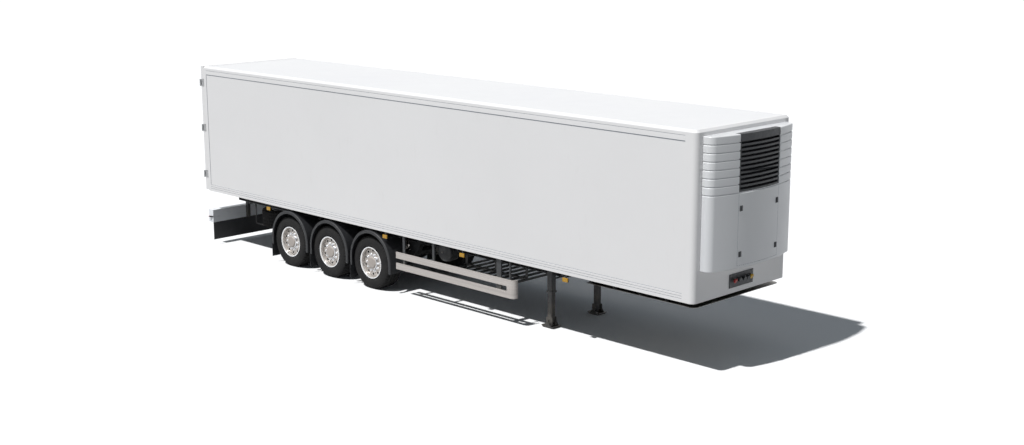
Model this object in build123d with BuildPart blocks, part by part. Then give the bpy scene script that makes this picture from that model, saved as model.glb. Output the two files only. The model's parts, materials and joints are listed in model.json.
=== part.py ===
from build123d import *
import os
from math import cos, radians, sin

# A three-axle refrigerated box semi-trailer, parked on its landing legs.
# Millimetres. X points forward, Y to the left, Z up, and the road is Z = 0.

# Load box
body_length = 13500
body_width = 2500
body_top = 4000
body_bottom = 1240
side_thick = 60
roof_thick = 85
roof_drop = 4
floor_thick = 125
front_thick = 100
front_return = 230
front_radius = 90
panel_recess = 6
top_rail_height = 180
bottom_rail_height = 140
rail_bevel = 42
groove = 5
top_groove_height = 84
bottom_groove_heights = (60, 100)

# Rear frame and doors
frame_behind = 24
frame_ahead = 65
post_width = 70
door_thick = 108
door_gap = 6
door_meeting_gap = 6
door_edge_gap = 5
door_low_gap = 17
door_top_gap = 6
hinge_heights = (1608, 2638, 3632)
hinge_height = 150
hinge_plate = 12
hinge_notch_gap = 6
knuckle_radius = 14
knuckle_gap = 1
knuckle_share = 0.53
hinge_lug = 8
hinge_pin_radius = 7
pin_clearance = 0.05
pivot_behind_door = 10
pivot_outside = 14.5
strap_length = 190
strap_thick = 6
rod_radius = 13.5
rod_places = (330, 900)
rod_groove_width = 38
rod_groove_depth = 24
rod_proud = 4.5
rod_end_gap = 3
guide_proud = 2
keeper_height = 70
guide_height = 40
guide_heights = (1800, 2500, 3300)
handle_height = 1620
handle_length = 420
handle_bar = 30
handle_thick = 9
handle_hub = 20
handle_catch = (60, 10)

# Cooling unit on the front wall
unit_depth = 340
unit_side_depth = 165
unit_bottom = 1750
unit_top = 3900
unit_half_width = 1100
unit_centre_half = 535
unit_corner_radius = 130
unit_edge = 12
louvre_count = 6
louvre_low = 2983
louvre_high = 3780
louvre_depth = 16
louvre_gap = 16
louvre_edge = 9
grille_recess = 150
grille_back = 20
grille_slats = 11
grille_slat = 34
grille_rim = 30
grille_inset = 8

# Chassis
beam_offset = 450
beam_flange = 140
beam_flange_thick = 14
beam_web = 10
beam_bottom = 930
beam_rear = 40
beam_front = 13300
deep_end = 9960
neck_start = 10420
coupling_height = 1150
skid_thick = 8
skid_length = 2300
skid_inset = 100
skid_behind_front = 40
kingpin_behind_front = 1650
kingpin_head_radius = 35.7
kingpin_neck_radius = 25.4
kingpin_head = 22
kingpin_neck = 40
kingpin_collar = 20
kingpin_chamfer = 4
kingpin_flange_radius = 100
kingpin_flange = 12
kingpin_gap = 0.3
cross_first = 340
cross_pitch = 545
cross_count = 24
cross_width = 50
cross_wall = 6
outrigger_gap = 10

# Wheels
axle_first = 2861
axle_pitch = 1313
axle_count = 3
tyre_radius = 525
tyre_width = 385
tyre_inset = 50
tyre_shoulder = 35
tyre_bead_inset = 30
tyre_bead_step = 8
tyre_bulge = 90
bead_radius = 300
bead_gap = 0.3
rim_wall = 12
rim_flange_radius = 316
rim_flange = 10
disc_inset = 78
disc_thick = 12
hand_hole_radius = 30
hand_hole_circle = 232
hand_holes = 10
hub_cover_radius = 165
hub_cover_inset = 12
hub_radius = 120
hub_depth = 150
hub_chamfer = 14
axle_radius = 63.5
spindle_radius = 45
spindle_clearance = 0.05
spindle_end_gap = 20
axle_hub_gap = 2

# Suspension
arm_width = 80
arm_pivot_ahead = 520
arm_pivot_height = 700
arm_eye_radius = 48
arm_neck = 38
arm_clamp = 130
arm_seat_behind = 360
arm_seat_height = 600
arm_seat = (90, 110)
arm_thick = 52
pivot_bolt_radius = 15
bolt_clearance = 0.3
hanger_plate = 8
hanger_gap = 2
hanger_top = (190, 200)
hanger_foot = (60, 55)
hanger_web = (70, 60)
bolt_head = 16
spring_profile = ((94, 0), (94, 0.28), (118, 0.3), (145, 0.42), (145, 0.84), (118, 0.96), (118, 1))
shock_radius = 32
shock_rod = 25
shock_gap = 6
shock_pin = 14
shock_top = (90, 60)
shock_foot = 60
tank_radius = 185
tank_dish = 50
tank_end_inset = 350
tank_place = 7282
tank_bracket = (120, 70)
tank_beam_gap = 15
chamber_radius = 80
chamber_length = 190
chamber_gap = 20
chamber_rise = 90
caliper_gap = 4
caliper_length = (40, 120)
caliper_height = (40, 150)

# Mudguards
guard_radius = 620
guard_ahead = 50
guard_raised = 50
guard_end_height = 410
guard_lip = 14
guard_sheet = 6
guard_skirt = 62
guard_width = 450
flap_low = 135
flap_thick = 8
stay_radius = 20
stay_angles = (55, 125)
stay_inset = 60
seat_gap = 0.3

# Rear bumper, lamps and spray flap
bumper_reach = 155
bumper_depth = 175
bumper_low = 510
bumper_high = 790
bumper_inset = 50
bumper_sheet = 6
bumper_post = (90, 60)
bumper_post_place = 300
rear_tie_height = 100
rear_lamp_proud = 10
rear_lamp_width = 430
rear_lamp_height = 140
rear_lamp_place = 930
spray_flap_low = 117
stalk_height = 628
stalk_root = 35
stalk_reach = 95
stalk_lamp = 30
stalk_thick = 24
side_lamp_places = (2197, 6008, 8186, 10761)
side_lamp = (125, 35, 70)
side_lamp_low = 1110
side_lamp_strap = (36, 10)

# Spare wheel below the rear of the frame
spare_place = 1100
spare_low = 447
cradle_radius = 15
cradle_rear = 450
cradle_front = 1750
cradle_offset = 350
cradle_bend = 45
cradle_bar = 30

# Side guards and pallet rack
guard_rear = 6300
guard_slot_end = 9322
guard_straight_end = 9405
guard_return_radius = 90
guard_return_straight = 25
guard_rail = 125
guard_rail_thick = 25
guard_rail_inset = 30
guard_rail_lows = (550, 765)
guard_posts = ((6505, 60, 550), (7350, 60, 765), (9100, 120, 550), (9380, 30, 550))
guard_post_thick = 30
rack_first = 7470
rack_pitch = 200
rack_slats = 9
slat_width = 50
slat_thick = 30
slat_low = 685
slat_inset = 330
rack_bearer = (60, 42)
rack_hanger = (60, 10)

# Landing legs
leg_place = 9850
leg_tube = 110
leg_wall = 7
leg_outer_y = 670
leg_slide_gap = 0.5
leg_collar = (12, 35)
leg_tube_low = 640
leg_tube_top = 1232
leg_inner_top = 860
leg_inner_low = 95
leg_plate = 10
foot_plate = (150, 150)
foot_low = 40
foot_pin_radius = 22
foot_hole_height = 115
shoe_length = 300
shoe_width = 210
shoe_thick = 10
shoe_rise = 38
shoe_turn = 45
gear_shaft_radius = 16
gear_shaft_height = 880
gearbox = (150, 90, 200)
crank_radius = 9
crank_drop = 260
crank_offset = 30

# Coupling panel
panel_half = 320
panel_thick = 12
panel_low = 1330
panel_high = 1560

# Worked out from the sizes above
unit_reach = body_length + unit_depth
rear_reach = bumper_reach + rear_lamp_proud
rear = -(unit_reach - rear_reach) / 2
side_y = body_width / 2
wall_y = side_y - side_thick
floor_top = body_bottom + floor_thick
roof_low = body_top - roof_thick
frame_back = rear - frame_behind
frame_front = rear + frame_ahead
body_front = rear + body_length
wall_front = body_front - front_return
hold_front = body_front - front_thick
tyre_outer_y = side_y - tyre_inset
wheel_centre = tyre_outer_y - tyre_width / 2
guard_inner_y = side_y - guard_width
bumper_half = side_y - bumper_inset
guard_rail_y = side_y - guard_rail_inset
slat_half = side_y - slat_inset
outrigger_short = guard_inner_y - outrigger_gap
outrigger_long = guard_rail_y - guard_rail_thick - guard_post_thick
skid_half_width = side_y - skid_inset
axle_places = [rear + axle_first + axle_pitch * i for i in range(axle_count)]
axle_names = ("rear", "middle", "front")

os.makedirs("parts", exist_ok=True)


def write(piece, name):
    piece.part.label = name
    export_step(piece.part, f"parts/{name}.step")


def side_plane(y):
    # Local axes are X and Z, and extruding goes towards -Y.
    return Plane.XZ.offset(-y)


def block(x, y, z, mode=Mode.ADD):
    # A box from its lowest and highest X, Y and Z.
    with Locations(((x[0] + x[1]) / 2, (y[0] + y[1]) / 2, (z[0] + z[1]) / 2)):
        Box(x[1] - x[0], y[1] - y[0], z[1] - z[0], mode=mode)


def both_sides(y):
    # The same stretch of Y on the left side and on the right side.
    return (y, (-y[1], -y[0]))


# Floor, roof and front wall

with BuildPart() as load_floor:
    block((frame_front, hold_front), (-wall_y, wall_y), (body_bottom, floor_top))
write(load_floor, "load_floor")

with BuildPart() as roof:
    block((frame_front, hold_front), (-wall_y, wall_y), (roof_low, body_top - roof_drop))
write(roof, "roof")

with BuildPart() as front_wall:
    with BuildSketch(Plane.XY.offset(body_bottom)):
        with Locations(((wall_front + body_front) / 2, 0)):
            Rectangle(front_return, body_width)
        fillet(vertices().group_by(Axis.X)[-1], front_radius)
        with Locations(((wall_front + hold_front) / 2, 0)):
            Rectangle(front_return - front_thick, 2 * wall_y, mode=Mode.SUBTRACT)
    extrude(amount=body_top - body_bottom)
    outer_top = faces().sort_by(Axis.Z)[-1].edges()
    sides = [e for e in outer_top if abs(e.center().Y) > wall_y and e.center().X > wall_front + 1]
    chamfer(sides, rail_bevel)
write(front_wall, "front_wall")

# Side walls between their rails

for sign, name in ((1, "left"), (-1, "right")):
    with BuildPart() as side_wall:
        y = sorted((sign * wall_y, sign * (side_y - panel_recess)))
        block(
            (frame_front, wall_front),
            y,
            (body_bottom + bottom_rail_height, body_top - top_rail_height),
        )
    write(side_wall, f"side_wall_{name}")

with BuildPart() as body_rails:
    for sign in (1, -1):
        with BuildSketch(Plane.YZ.offset(frame_front)):
            with BuildLine():
                Polyline(
                    (sign * wall_y, body_top - top_rail_height),
                    (sign * side_y, body_top - top_rail_height),
                    (sign * side_y, body_top - rail_bevel),
                    (sign * (side_y - rail_bevel), body_top),
                    (sign * wall_y, body_top),
                    close=True,
                )
            make_face()
            with Locations((sign * side_y, body_top - top_rail_height + top_groove_height)):
                Rectangle(2 * groove, groove, mode=Mode.SUBTRACT)
        extrude(amount=wall_front - frame_front)
        with BuildSketch(Plane.YZ.offset(frame_front)):
            with Locations((sign * (wall_y + side_y) / 2, body_bottom + bottom_rail_height / 2)):
                Rectangle(side_thick, bottom_rail_height)
            for height in bottom_groove_heights:
                with Locations((sign * side_y, body_bottom + height)):
                    Rectangle(2 * groove, groove, mode=Mode.SUBTRACT)
        extrude(amount=wall_front - frame_front)
write(body_rails, "body_rails")

# Rear frame round the doorway

with BuildPart() as rear_frame:
    with BuildSketch(Plane.YZ.offset(frame_back)):
        with BuildLine():
            Polyline(
                (-side_y, body_bottom),
                (side_y, body_bottom),
                (side_y, body_top - rail_bevel),
                (side_y - rail_bevel, body_top),
                (rail_bevel - side_y, body_top),
                (-side_y, body_top - rail_bevel),
                close=True,
            )
        make_face()
        with Locations((0, (floor_top + roof_low) / 2)):
            Rectangle(body_width - 2 * post_width, roof_low - floor_top, mode=Mode.SUBTRACT)
    extrude(amount=frame_front - frame_back)
write(rear_frame, "rear_frame")

# Rear doors, which swing right round to lie along the side walls

door_inner = frame_back - door_gap
door_outer = door_inner - door_thick
door_low = body_bottom + door_low_gap
door_top = body_top - door_top_gap
door_edge = side_y - door_edge_gap
pivot_x = door_outer - pivot_behind_door
pivot_y = side_y + pivot_outside
hinge_half = hinge_height / 2
knuckle_half = hinge_half * knuckle_share
notch_y = side_y - hinge_plate - hinge_notch_gap
lug_front = pivot_x + knuckle_radius + hinge_lug

with BuildPart() as hinge_brackets:
    for z in hinge_heights:
        for low, high in ((-hinge_half, -knuckle_half), (knuckle_half, hinge_half)):
            with BuildSketch(Plane.XY.offset(z + low)):
                with Locations((pivot_x, pivot_y)):
                    Circle(knuckle_radius)
                with Locations(((pivot_x + lug_front) / 2, (side_y - hinge_plate + pivot_y) / 2)):
                    Rectangle(lug_front - pivot_x, pivot_y - side_y + hinge_plate)
            extrude(amount=high - low)
        block(
            (lug_front, frame_back),
            (side_y - hinge_plate, side_y),
            (z - hinge_half, z + hinge_half),
        )
        with BuildSketch(Plane.XY.offset(z - hinge_half)):
            with Locations((pivot_x, pivot_y)):
                Circle(hinge_pin_radius)
        extrude(amount=hinge_height)
    mirror(about=Plane.XZ)
write(hinge_brackets, "hinge_brackets")

for sign, name in ((1, "left"), (-1, "right")):
    with BuildPart() as door:
        block((door_outer, door_inner), (door_meeting_gap, door_edge), (door_low, door_top))
        for z in hinge_heights:
            block(
                (door_outer - 1, door_inner + 1),
                (notch_y, door_edge + 1),
                (z - hinge_half - hinge_notch_gap, z + hinge_half + hinge_notch_gap),
                mode=Mode.SUBTRACT,
            )
        for y in rod_places:
            block(
                (door_outer - 1, door_outer + rod_groove_depth),
                (y - rod_groove_width / 2, y + rod_groove_width / 2),
                (door_low - 1, door_top + 1),
                mode=Mode.SUBTRACT,
            )
        if sign < 0:
            mirror(about=Plane.XZ)
            split(bisect_by=Plane.XZ, keep=Keep.TOP)
    write(door, f"door_{name}")

rod_x = door_outer - rod_proud + rod_radius
rod_low = door_low + rod_end_gap
rod_top = door_top - rod_end_gap
strap_inner = door_edge - strap_length

for sign, name in ((1, "left"), (-1, "right")):
    with BuildPart() as fittings:
        # Hinge leaves with their straps
        for z in hinge_heights:
            with BuildSketch(Plane.XY.offset(z - knuckle_half + knuckle_gap)):
                with Locations((pivot_x, sign * pivot_y)):
                    Circle(knuckle_radius)
                with Locations((door_outer - strap_thick / 2, sign * (strap_inner + pivot_y) / 2)):
                    Rectangle(strap_thick, pivot_y - strap_inner)
                with Locations((pivot_x, sign * pivot_y)):
                    Circle(hinge_pin_radius + pin_clearance, mode=Mode.SUBTRACT)
            extrude(amount=2 * (knuckle_half - knuckle_gap))
        # Lock rods with their end cams and guides
        for y in rod_places:
            with BuildSketch(Plane.XY.offset(rod_low)):
                with Locations((rod_x, sign * y)):
                    Circle(rod_radius)
            extrude(amount=rod_top - rod_low)
            guide_y = sorted((sign * (y - rod_groove_width / 2), sign * (y + rod_groove_width / 2)))
            for z in guide_heights:
                block(
                    (door_outer - rod_proud - guide_proud, door_outer + rod_groove_depth),
                    guide_y,
                    (z, z + guide_height),
                )
            for z in (rod_low, rod_top - keeper_height):
                block((door_outer, door_outer + rod_groove_depth), guide_y, (z, z + keeper_height))
            # Handle, lying flat against the door towards its hinges
            handle_end = y + handle_length
            catch_length, catch_border = handle_catch
            if handle_end < strap_inner:
                block(
                    (door_outer - rod_proud - handle_thick, door_outer - rod_proud),
                    sorted((sign * y, sign * handle_end)),
                    (handle_height, handle_height + handle_bar),
                )
                block(
                    (door_outer - rod_proud, door_outer),
                    sorted((sign * handle_end, sign * (handle_end - catch_length))),
                    (handle_height - catch_border, handle_height + handle_bar + catch_border),
                )
            block(
                (door_outer - rod_proud - handle_thick, door_outer + rod_groove_depth),
                guide_y,
                (handle_height - handle_hub, handle_height + handle_bar + handle_hub),
            )
    write(fittings, f"door_fittings_{name}")

# Cooling unit: a bowed housing with louvred wings and a dark grille down its middle

unit_front = body_front + unit_depth
unit_side = body_front + unit_side_depth
louvre_pitch = (louvre_high - louvre_low) / louvre_count


def unit_plan(inset):
    # The housing's outline from above, drawn in from its skin by an inset.
    with BuildSketch() as plan:
        with BuildLine():
            side = unit_half_width - inset
            Line((body_front, -side), (unit_side - inset, -side))
            ThreePointArc(
                (unit_side - inset, -side), (unit_front - inset, 0), (unit_side - inset, side)
            )
            Line((unit_side - inset, side), (body_front, side))
            Line((body_front, side), (body_front, -side))
        make_face()
        fillet(vertices().group_by(Axis.X)[-1], unit_corner_radius - inset)
    return plan.sketch


def unit_slice(low, top, inset, bevel_low=0, bevel_top=0):
    # A length of the housing between two heights, with its outer edges bevelled.
    with BuildPart() as one:
        with BuildSketch(Plane.XY.offset(low)):
            add(unit_plan(inset))
        extrude(amount=top - low)
        for bevel, end in ((bevel_top, -1), (bevel_low, 0)):
            if bevel:
                rim = faces().sort_by(Axis.Z)[end].edges()
                chamfer([e for e in rim if e.center().X > body_front + 1], bevel)
    return one.part


# The core shows in the grooves between the louvres
smooth_top = louvre_low - louvre_gap
unit_slices = [
    unit_slice(unit_bottom, smooth_top, 0, unit_edge, louvre_edge),
    unit_slice(smooth_top, louvre_high, louvre_depth),
    unit_slice(louvre_high, unit_top, 0, 0, unit_edge),
]
for i in range(louvre_count):
    z = louvre_low + louvre_pitch * i
    unit_slices.append(unit_slice(z, z + louvre_pitch - louvre_gap, 0, 0, louvre_edge))
grille_blank = unit_slice(louvre_low, unit_top, grille_inset)

with BuildPart() as unit_housing:
    for piece in unit_slices:
        add(piece)
    # The middle is cut back for the grille
    block(
        (unit_front - grille_recess, unit_front + 1),
        (-unit_centre_half, unit_centre_half),
        (louvre_low, unit_top + 1),
        mode=Mode.SUBTRACT,
    )
write(unit_housing, "unit_housing")

with BuildPart() as unit_grille:
    add(grille_blank)
    block(
        (unit_front - grille_recess, unit_front),
        (-unit_centre_half, unit_centre_half),
        (louvre_low, unit_top),
        mode=Mode.INTERSECT,
    )
    # Openings between bowed slats, inside a rim and in front of a back plate
    slat_step = (louvre_high - louvre_low) / grille_slats
    opening_half = unit_centre_half - grille_rim
    for i in range(grille_slats):
        z = louvre_low + slat_step * i
        block(
            (unit_front - grille_recess + grille_back, unit_front),
            (-opening_half, opening_half),
            (z + grille_slat, z + slat_step),
            mode=Mode.SUBTRACT,
        )
write(unit_grille, "unit_grille")

# Chassis beams: deep I-sections that step up to the shallow neck over the coupling

neck_low = coupling_height + skid_thick
neck_joint = rear + neck_start
beam_outlines = {
    "main_beams": (
        (rear + beam_rear, beam_bottom),
        (rear + deep_end, beam_bottom),
        (neck_joint, neck_low),
        (neck_joint, body_bottom),
        (rear + beam_rear, body_bottom),
    ),
    "neck_beams": (
        (neck_joint, neck_low),
        (rear + beam_front, neck_low),
        (rear + beam_front, body_bottom),
        (neck_joint, body_bottom),
    ),
}

for name, outline in beam_outlines.items():
    with BuildPart() as beams:
        with BuildSketch(side_plane(beam_offset)):
            Polygon(*outline, align=None)
        extrude(amount=beam_flange / 2, both=True)
        for side in (-1, 1):
            with BuildSketch(side_plane(beam_offset + side * beam_web / 2)):
                Polygon(*outline, align=None)
                offset(amount=-beam_flange_thick, mode=Mode.REPLACE, kind=Kind.INTERSECTION)
            extrude(amount=-side * beam_flange, mode=Mode.SUBTRACT)
        mirror(about=Plane.XZ)
    write(beams, name)

# Cross members: channels let in below the top flanges, from side to side

cross_low = neck_low + beam_flange_thick
wheels_to = axle_places[-1] + guard_ahead + guard_radius

with BuildPart() as cross_members:
    for i in range(cross_count):
        x = rear + cross_first + cross_pitch * i
        reach = outrigger_long if x > wheels_to else outrigger_short
        block((x, x + cross_width), (-reach, reach), (cross_low, body_bottom))
        block(
            (x + cross_wall, x + cross_width + 1),
            (-reach - 1, reach + 1),
            (cross_low + cross_wall, body_bottom - cross_wall),
            mode=Mode.SUBTRACT,
        )
    for sign in (1, -1):
        flange = sorted((sign * (beam_offset - beam_flange / 2), sign * (beam_offset + beam_flange / 2)))
        web = sorted((sign * (beam_offset - beam_web / 2), sign * (beam_offset + beam_web / 2)))
        block(
            (rear, body_front),
            flange,
            (body_bottom - beam_flange_thick, body_bottom + 1),
            mode=Mode.SUBTRACT,
        )
        block((rear, body_front), web, (cross_low - 1, body_bottom), mode=Mode.SUBTRACT)
write(cross_members, "cross_members")

# Skid plate and kingpin

skid_front = body_front - skid_behind_front
kingpin_x = body_front - kingpin_behind_front

with BuildPart() as skid_plate:
    block(
        (skid_front - skid_length, skid_front),
        (-skid_half_width, skid_half_width),
        (coupling_height, neck_low),
    )
    top_edges = edges().filter_by(Axis.Z).group_by(Axis.X)[-1]
    fillet(top_edges, front_radius)
    with Locations((kingpin_x, 0, neck_low)):
        Hole(kingpin_head_radius + kingpin_gap)
write(skid_plate, "skid_plate")

with BuildPart() as kingpin:
    with BuildSketch(Plane(origin=(kingpin_x, 0, 0), x_dir=(1, 0, 0), z_dir=(0, -1, 0))):
        with BuildLine():
            base = coupling_height - kingpin_collar - kingpin_neck - kingpin_head
            Polyline(
                (0, base),
                (kingpin_head_radius, base),
                (kingpin_head_radius, base + kingpin_head),
                (kingpin_neck_radius, base + kingpin_head),
                (kingpin_neck_radius, coupling_height - kingpin_collar),
                (kingpin_head_radius, coupling_height - kingpin_collar),
                (kingpin_head_radius, neck_low),
                (kingpin_flange_radius, neck_low),
                (kingpin_flange_radius, neck_low + kingpin_flange),
                (0, neck_low + kingpin_flange),
                close=True,
            )
        make_face()
    revolve(axis=Axis((kingpin_x, 0, 0), (0, 0, 1)))
    chamfer(faces().sort_by(Axis.Z)[0].edges(), kingpin_chamfer)
write(kingpin, "kingpin")


# Wheels

def tyre_ring(plane, low):
    # A tyre's section, from its bead outwards, on a plane whose X is the radius.
    width = tyre_width
    with BuildPart() as ring:
        with BuildSketch(plane):
            with BuildLine():
                Polyline(
                    (bead_radius + bead_gap, low + tyre_bead_inset),
                    (rim_flange_radius + tyre_bead_step, low + tyre_bead_inset),
                    (bead_radius + tyre_bulge, low),
                    (tyre_radius - tyre_shoulder * 2, low),
                    (tyre_radius, low + tyre_shoulder),
                    (tyre_radius, low + width - tyre_shoulder),
                    (tyre_radius - tyre_shoulder * 2, low + width),
                    (bead_radius + tyre_bulge, low + width),
                    (rim_flange_radius + tyre_bead_step, low + width - tyre_bead_inset),
                    (bead_radius + bead_gap, low + width - tyre_bead_inset),
                    close=True,
                )
            make_face()
        revolve(axis=Axis.Z)
    return ring.part


def rim_and_hub(with_hub):
    # Z points outwards from the wheel's middle.
    half = tyre_width / 2 - tyre_bead_inset
    disc_z = tyre_width / 2 - disc_inset
    with BuildPart() as rim:
        with BuildSketch(Plane.XZ):
            with BuildLine():
                Polyline(
                    (bead_radius - rim_wall, -half - rim_flange),
                    (rim_flange_radius, -half - rim_flange),
                    (rim_flange_radius, -half - bead_gap),
                    (bead_radius, -half - bead_gap),
                    (bead_radius, half + bead_gap),
                    (rim_flange_radius, half + bead_gap),
                    (rim_flange_radius, half + rim_flange),
                    (bead_radius - rim_wall, half + rim_flange),
                    close=True,
                )
            make_face()
        revolve(axis=Axis.Z)
        with BuildSketch(Plane.XY.offset(disc_z - disc_thick)):
            Circle(bead_radius - rim_wall / 2)
            with PolarLocations(hand_hole_circle, hand_holes):
                Circle(hand_hole_radius, mode=Mode.SUBTRACT)
        extrude(amount=disc_thick)
        if with_hub:
            with BuildSketch(Plane.XY.offset(disc_z)):
                Circle(hub_cover_radius)
            extrude(amount=disc_inset - hub_cover_inset)
            chamfer(faces().sort_by(Axis.Z)[-1].edges(), hub_chamfer)
            with BuildSketch(Plane.XY.offset(disc_z - hub_depth)):
                Circle(hub_radius)
            extrude(amount=hub_depth)
            with BuildSketch(Plane.XY.offset(disc_z - hub_depth)):
                Circle(spindle_radius + spindle_clearance)
            extrude(amount=hub_depth, mode=Mode.SUBTRACT)
        else:
            with BuildSketch(Plane.XY.offset(disc_z)):
                Circle(hub_radius)
            extrude(amount=-disc_thick, mode=Mode.SUBTRACT)
    return rim.part


def place(part, plane):
    return plane.from_local_coords(part)


tyre_solid = tyre_ring(Plane.XZ, -tyre_width / 2)
rim_solid = rim_and_hub(True)
spare_rim_solid = rim_and_hub(False)

for axle, x in zip(axle_names, axle_places):
    for sign, name in ((1, "left"), (-1, "right")):
        wheel_plane = Plane(
            origin=(x, sign * wheel_centre, tyre_radius), x_dir=(1, 0, 0), z_dir=(0, sign, 0)
        )
        with BuildPart() as tyre:
            add(place(tyre_solid, wheel_plane))
        write(tyre, f"tyre_{axle}_{name}")
        with BuildPart() as rim:
            add(place(rim_solid, wheel_plane))
        write(rim, f"rim_{axle}_{name}")

spare_plane = Plane(
    origin=(rear + spare_place, 0, spare_low + tyre_width / 2), x_dir=(1, 0, 0), z_dir=(0, 0, -1)
)
with BuildPart() as spare_tyre:
    add(place(tyre_solid, spare_plane))
write(spare_tyre, "spare_tyre")
with BuildPart() as spare_rim:
    add(place(spare_rim_solid, spare_plane))
write(spare_rim, "spare_rim")

# Axles with their spindles

hub_inner_y = wheel_centre + tyre_width / 2 - disc_inset - hub_depth
axle_end = hub_inner_y - axle_hub_gap
spindle_end = hub_inner_y + hub_depth - spindle_end_gap

with BuildPart() as axle_beams:
    for x in axle_places:
        with BuildSketch(side_plane(axle_end)):
            with Locations((x, tyre_radius)):
                Circle(axle_radius)
        extrude(amount=2 * axle_end)
        with BuildSketch(side_plane(spindle_end)):
            with Locations((x, tyre_radius)):
                Circle(spindle_radius)
        extrude(amount=2 * spindle_end)
write(axle_beams, "axle_beams")

# Trailing arms over the axles, on hangers ahead and air springs behind

arm_low = tyre_radius + axle_radius + seat_gap
arm_inner = beam_offset - arm_width / 2
arm_outer = beam_offset + arm_width / 2

with BuildPart() as trailing_arms:
    for x in axle_places:
        tail = x - arm_seat_behind - arm_seat[0]
        with BuildSketch(side_plane(arm_outer)):
            Polygon(
                (x + arm_pivot_ahead, arm_pivot_height - arm_neck),
                (x + arm_clamp, arm_low),
                (x - arm_clamp, arm_low),
                (tail, arm_seat_height - arm_thick),
                (tail, arm_seat_height),
                (x - arm_seat_behind + arm_seat[1], arm_seat_height),
                (x - arm_clamp, arm_low + arm_thick),
                (x + arm_clamp, arm_low + arm_thick),
                (x + arm_pivot_ahead, arm_pivot_height + arm_neck),
                align=None,
            )
            with Locations((x + arm_pivot_ahead, arm_pivot_height)):
                Circle(arm_eye_radius)
                Circle(pivot_bolt_radius + bolt_clearance, mode=Mode.SUBTRACT)
        extrude(amount=arm_width)
    mirror(about=Plane.XZ)
write(trailing_arms, "trailing_arms")

with BuildPart() as hangers:
    foot_half, foot_drop = hanger_foot
    web_ahead, web_rise = hanger_web
    bolt_reach = hanger_gap + hanger_plate + bolt_head
    for x in axle_places:
        pivot = x + arm_pivot_ahead
        for y in (arm_outer + hanger_gap + hanger_plate, arm_inner - hanger_gap):
            with BuildSketch(side_plane(y)):
                Polygon(
                    (pivot - hanger_top[0], beam_bottom),
                    (pivot - foot_half, arm_pivot_height - foot_drop),
                    (pivot + foot_half, arm_pivot_height - foot_drop),
                    (pivot + hanger_top[1], beam_bottom),
                    align=None,
                )
            extrude(amount=hanger_plate)
        block(
            (pivot + web_ahead, pivot + web_ahead + hanger_plate),
            (arm_inner - hanger_gap, arm_outer + hanger_gap),
            (arm_pivot_height + web_rise, beam_bottom),
        )
        with BuildSketch(side_plane(arm_outer + bolt_reach)):
            with Locations((pivot, arm_pivot_height)):
                Circle(pivot_bolt_radius)
        extrude(amount=arm_width + 2 * bolt_reach)
    mirror(about=Plane.XZ)
write(hangers, "hangers")

spring_height = beam_bottom - arm_seat_height

with BuildPart() as air_springs:
    for x in axle_places:
        foot = (x - arm_seat_behind, beam_offset, arm_seat_height)
        with BuildSketch(Plane(origin=foot, x_dir=(1, 0, 0), z_dir=(0, -1, 0))):
            with BuildLine():
                Polyline(
                    (0, 0),
                    *((radius, spring_height * share) for radius, share in spring_profile),
                    (0, spring_height),
                    close=True,
                )
            make_face()
        revolve(axis=Axis(foot, (0, 0, 1)))
    mirror(about=Plane.XZ)
write(air_springs, "air_springs")

with BuildPart() as shock_absorbers:
    for x in axle_places:
        hanger_inner = arm_inner - hanger_gap - hanger_plate
        y = hanger_inner - shock_radius - shock_gap
        top = Vector(x + arm_pivot_ahead - shock_top[0], y, beam_bottom - shock_top[1])
        foot = Vector(x + shock_foot, y, arm_low + arm_thick / 2)
        along = (top - foot).normalized()
        middle = foot + (top - foot) * 0.5
        with BuildSketch(Plane(origin=foot, z_dir=along)):
            Circle(shock_rod)
        extrude(amount=(middle - foot).length)
        with BuildSketch(Plane(origin=middle, z_dir=along)):
            Circle(shock_radius)
        extrude(amount=(top - middle).length)
        for point, reach in ((top, hanger_inner), (foot, arm_inner)):
            with BuildSketch(Plane(origin=(point.X, reach, point.Z), z_dir=(0, -1, 0))):
                Circle(shock_pin)
            extrude(amount=reach - y + shock_radius / 2)
    mirror(about=Plane.XZ)
write(shock_absorbers, "shock_absorbers")

with BuildPart() as brake_units:
    for x in axle_places:
        caliper_outer = axle_end - caliper_gap
        chamber_y = tyre_outer_y - tyre_width - chamber_gap - chamber_radius
        caliper_width = caliper_outer - chamber_y + chamber_radius
        chamber_x = x + caliper_length[1]
        block(
            (x - caliper_length[0], chamber_x),
            (caliper_outer - caliper_width, caliper_outer),
            (tyre_radius - caliper_height[0], tyre_radius + caliper_height[1]),
        )
        with BuildSketch(side_plane(caliper_outer)):
            with Locations((x, tyre_radius)):
                Circle(axle_radius + seat_gap)
        extrude(amount=caliper_width, mode=Mode.SUBTRACT)
        chamber_foot = (chamber_x, chamber_y, tyre_radius + chamber_rise)
        with BuildSketch(Plane(origin=chamber_foot, z_dir=(1, 0, 0))):
            Circle(chamber_radius)
        extrude(amount=chamber_length)
    mirror(about=Plane.XZ)
write(brake_units, "brake_units")

tank_z = cross_low - tank_radius - seat_gap
tank_outer = side_y - tank_end_inset
tank_inner = beam_offset + beam_flange / 2 + tank_beam_gap

# Air tanks: a drum with dished ends across the frame, outside each beam, on a bracket to its web

with BuildPart() as air_tanks:
    tank_plane = Plane(
        origin=(rear + tank_place, tank_inner, tank_z), x_dir=(1, 0, 0), z_dir=(0, 1, 0)
    )
    with BuildSketch(tank_plane):
        Circle(tank_radius)
    extrude(amount=tank_outer - tank_inner)
    chamfer(edges().filter_by(GeomType.CIRCLE), tank_dish / 2, tank_dish)
    bracket_length, bracket_height = tank_bracket
    block(
        (rear + tank_place - bracket_length / 2, rear + tank_place + bracket_length / 2),
        (beam_offset + beam_web / 2, tank_inner + tank_dish),
        (tank_z - bracket_height / 2, tank_z + bracket_height / 2),
    )
    mirror(about=Plane.XZ)
write(air_tanks, "air_tanks")

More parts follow.
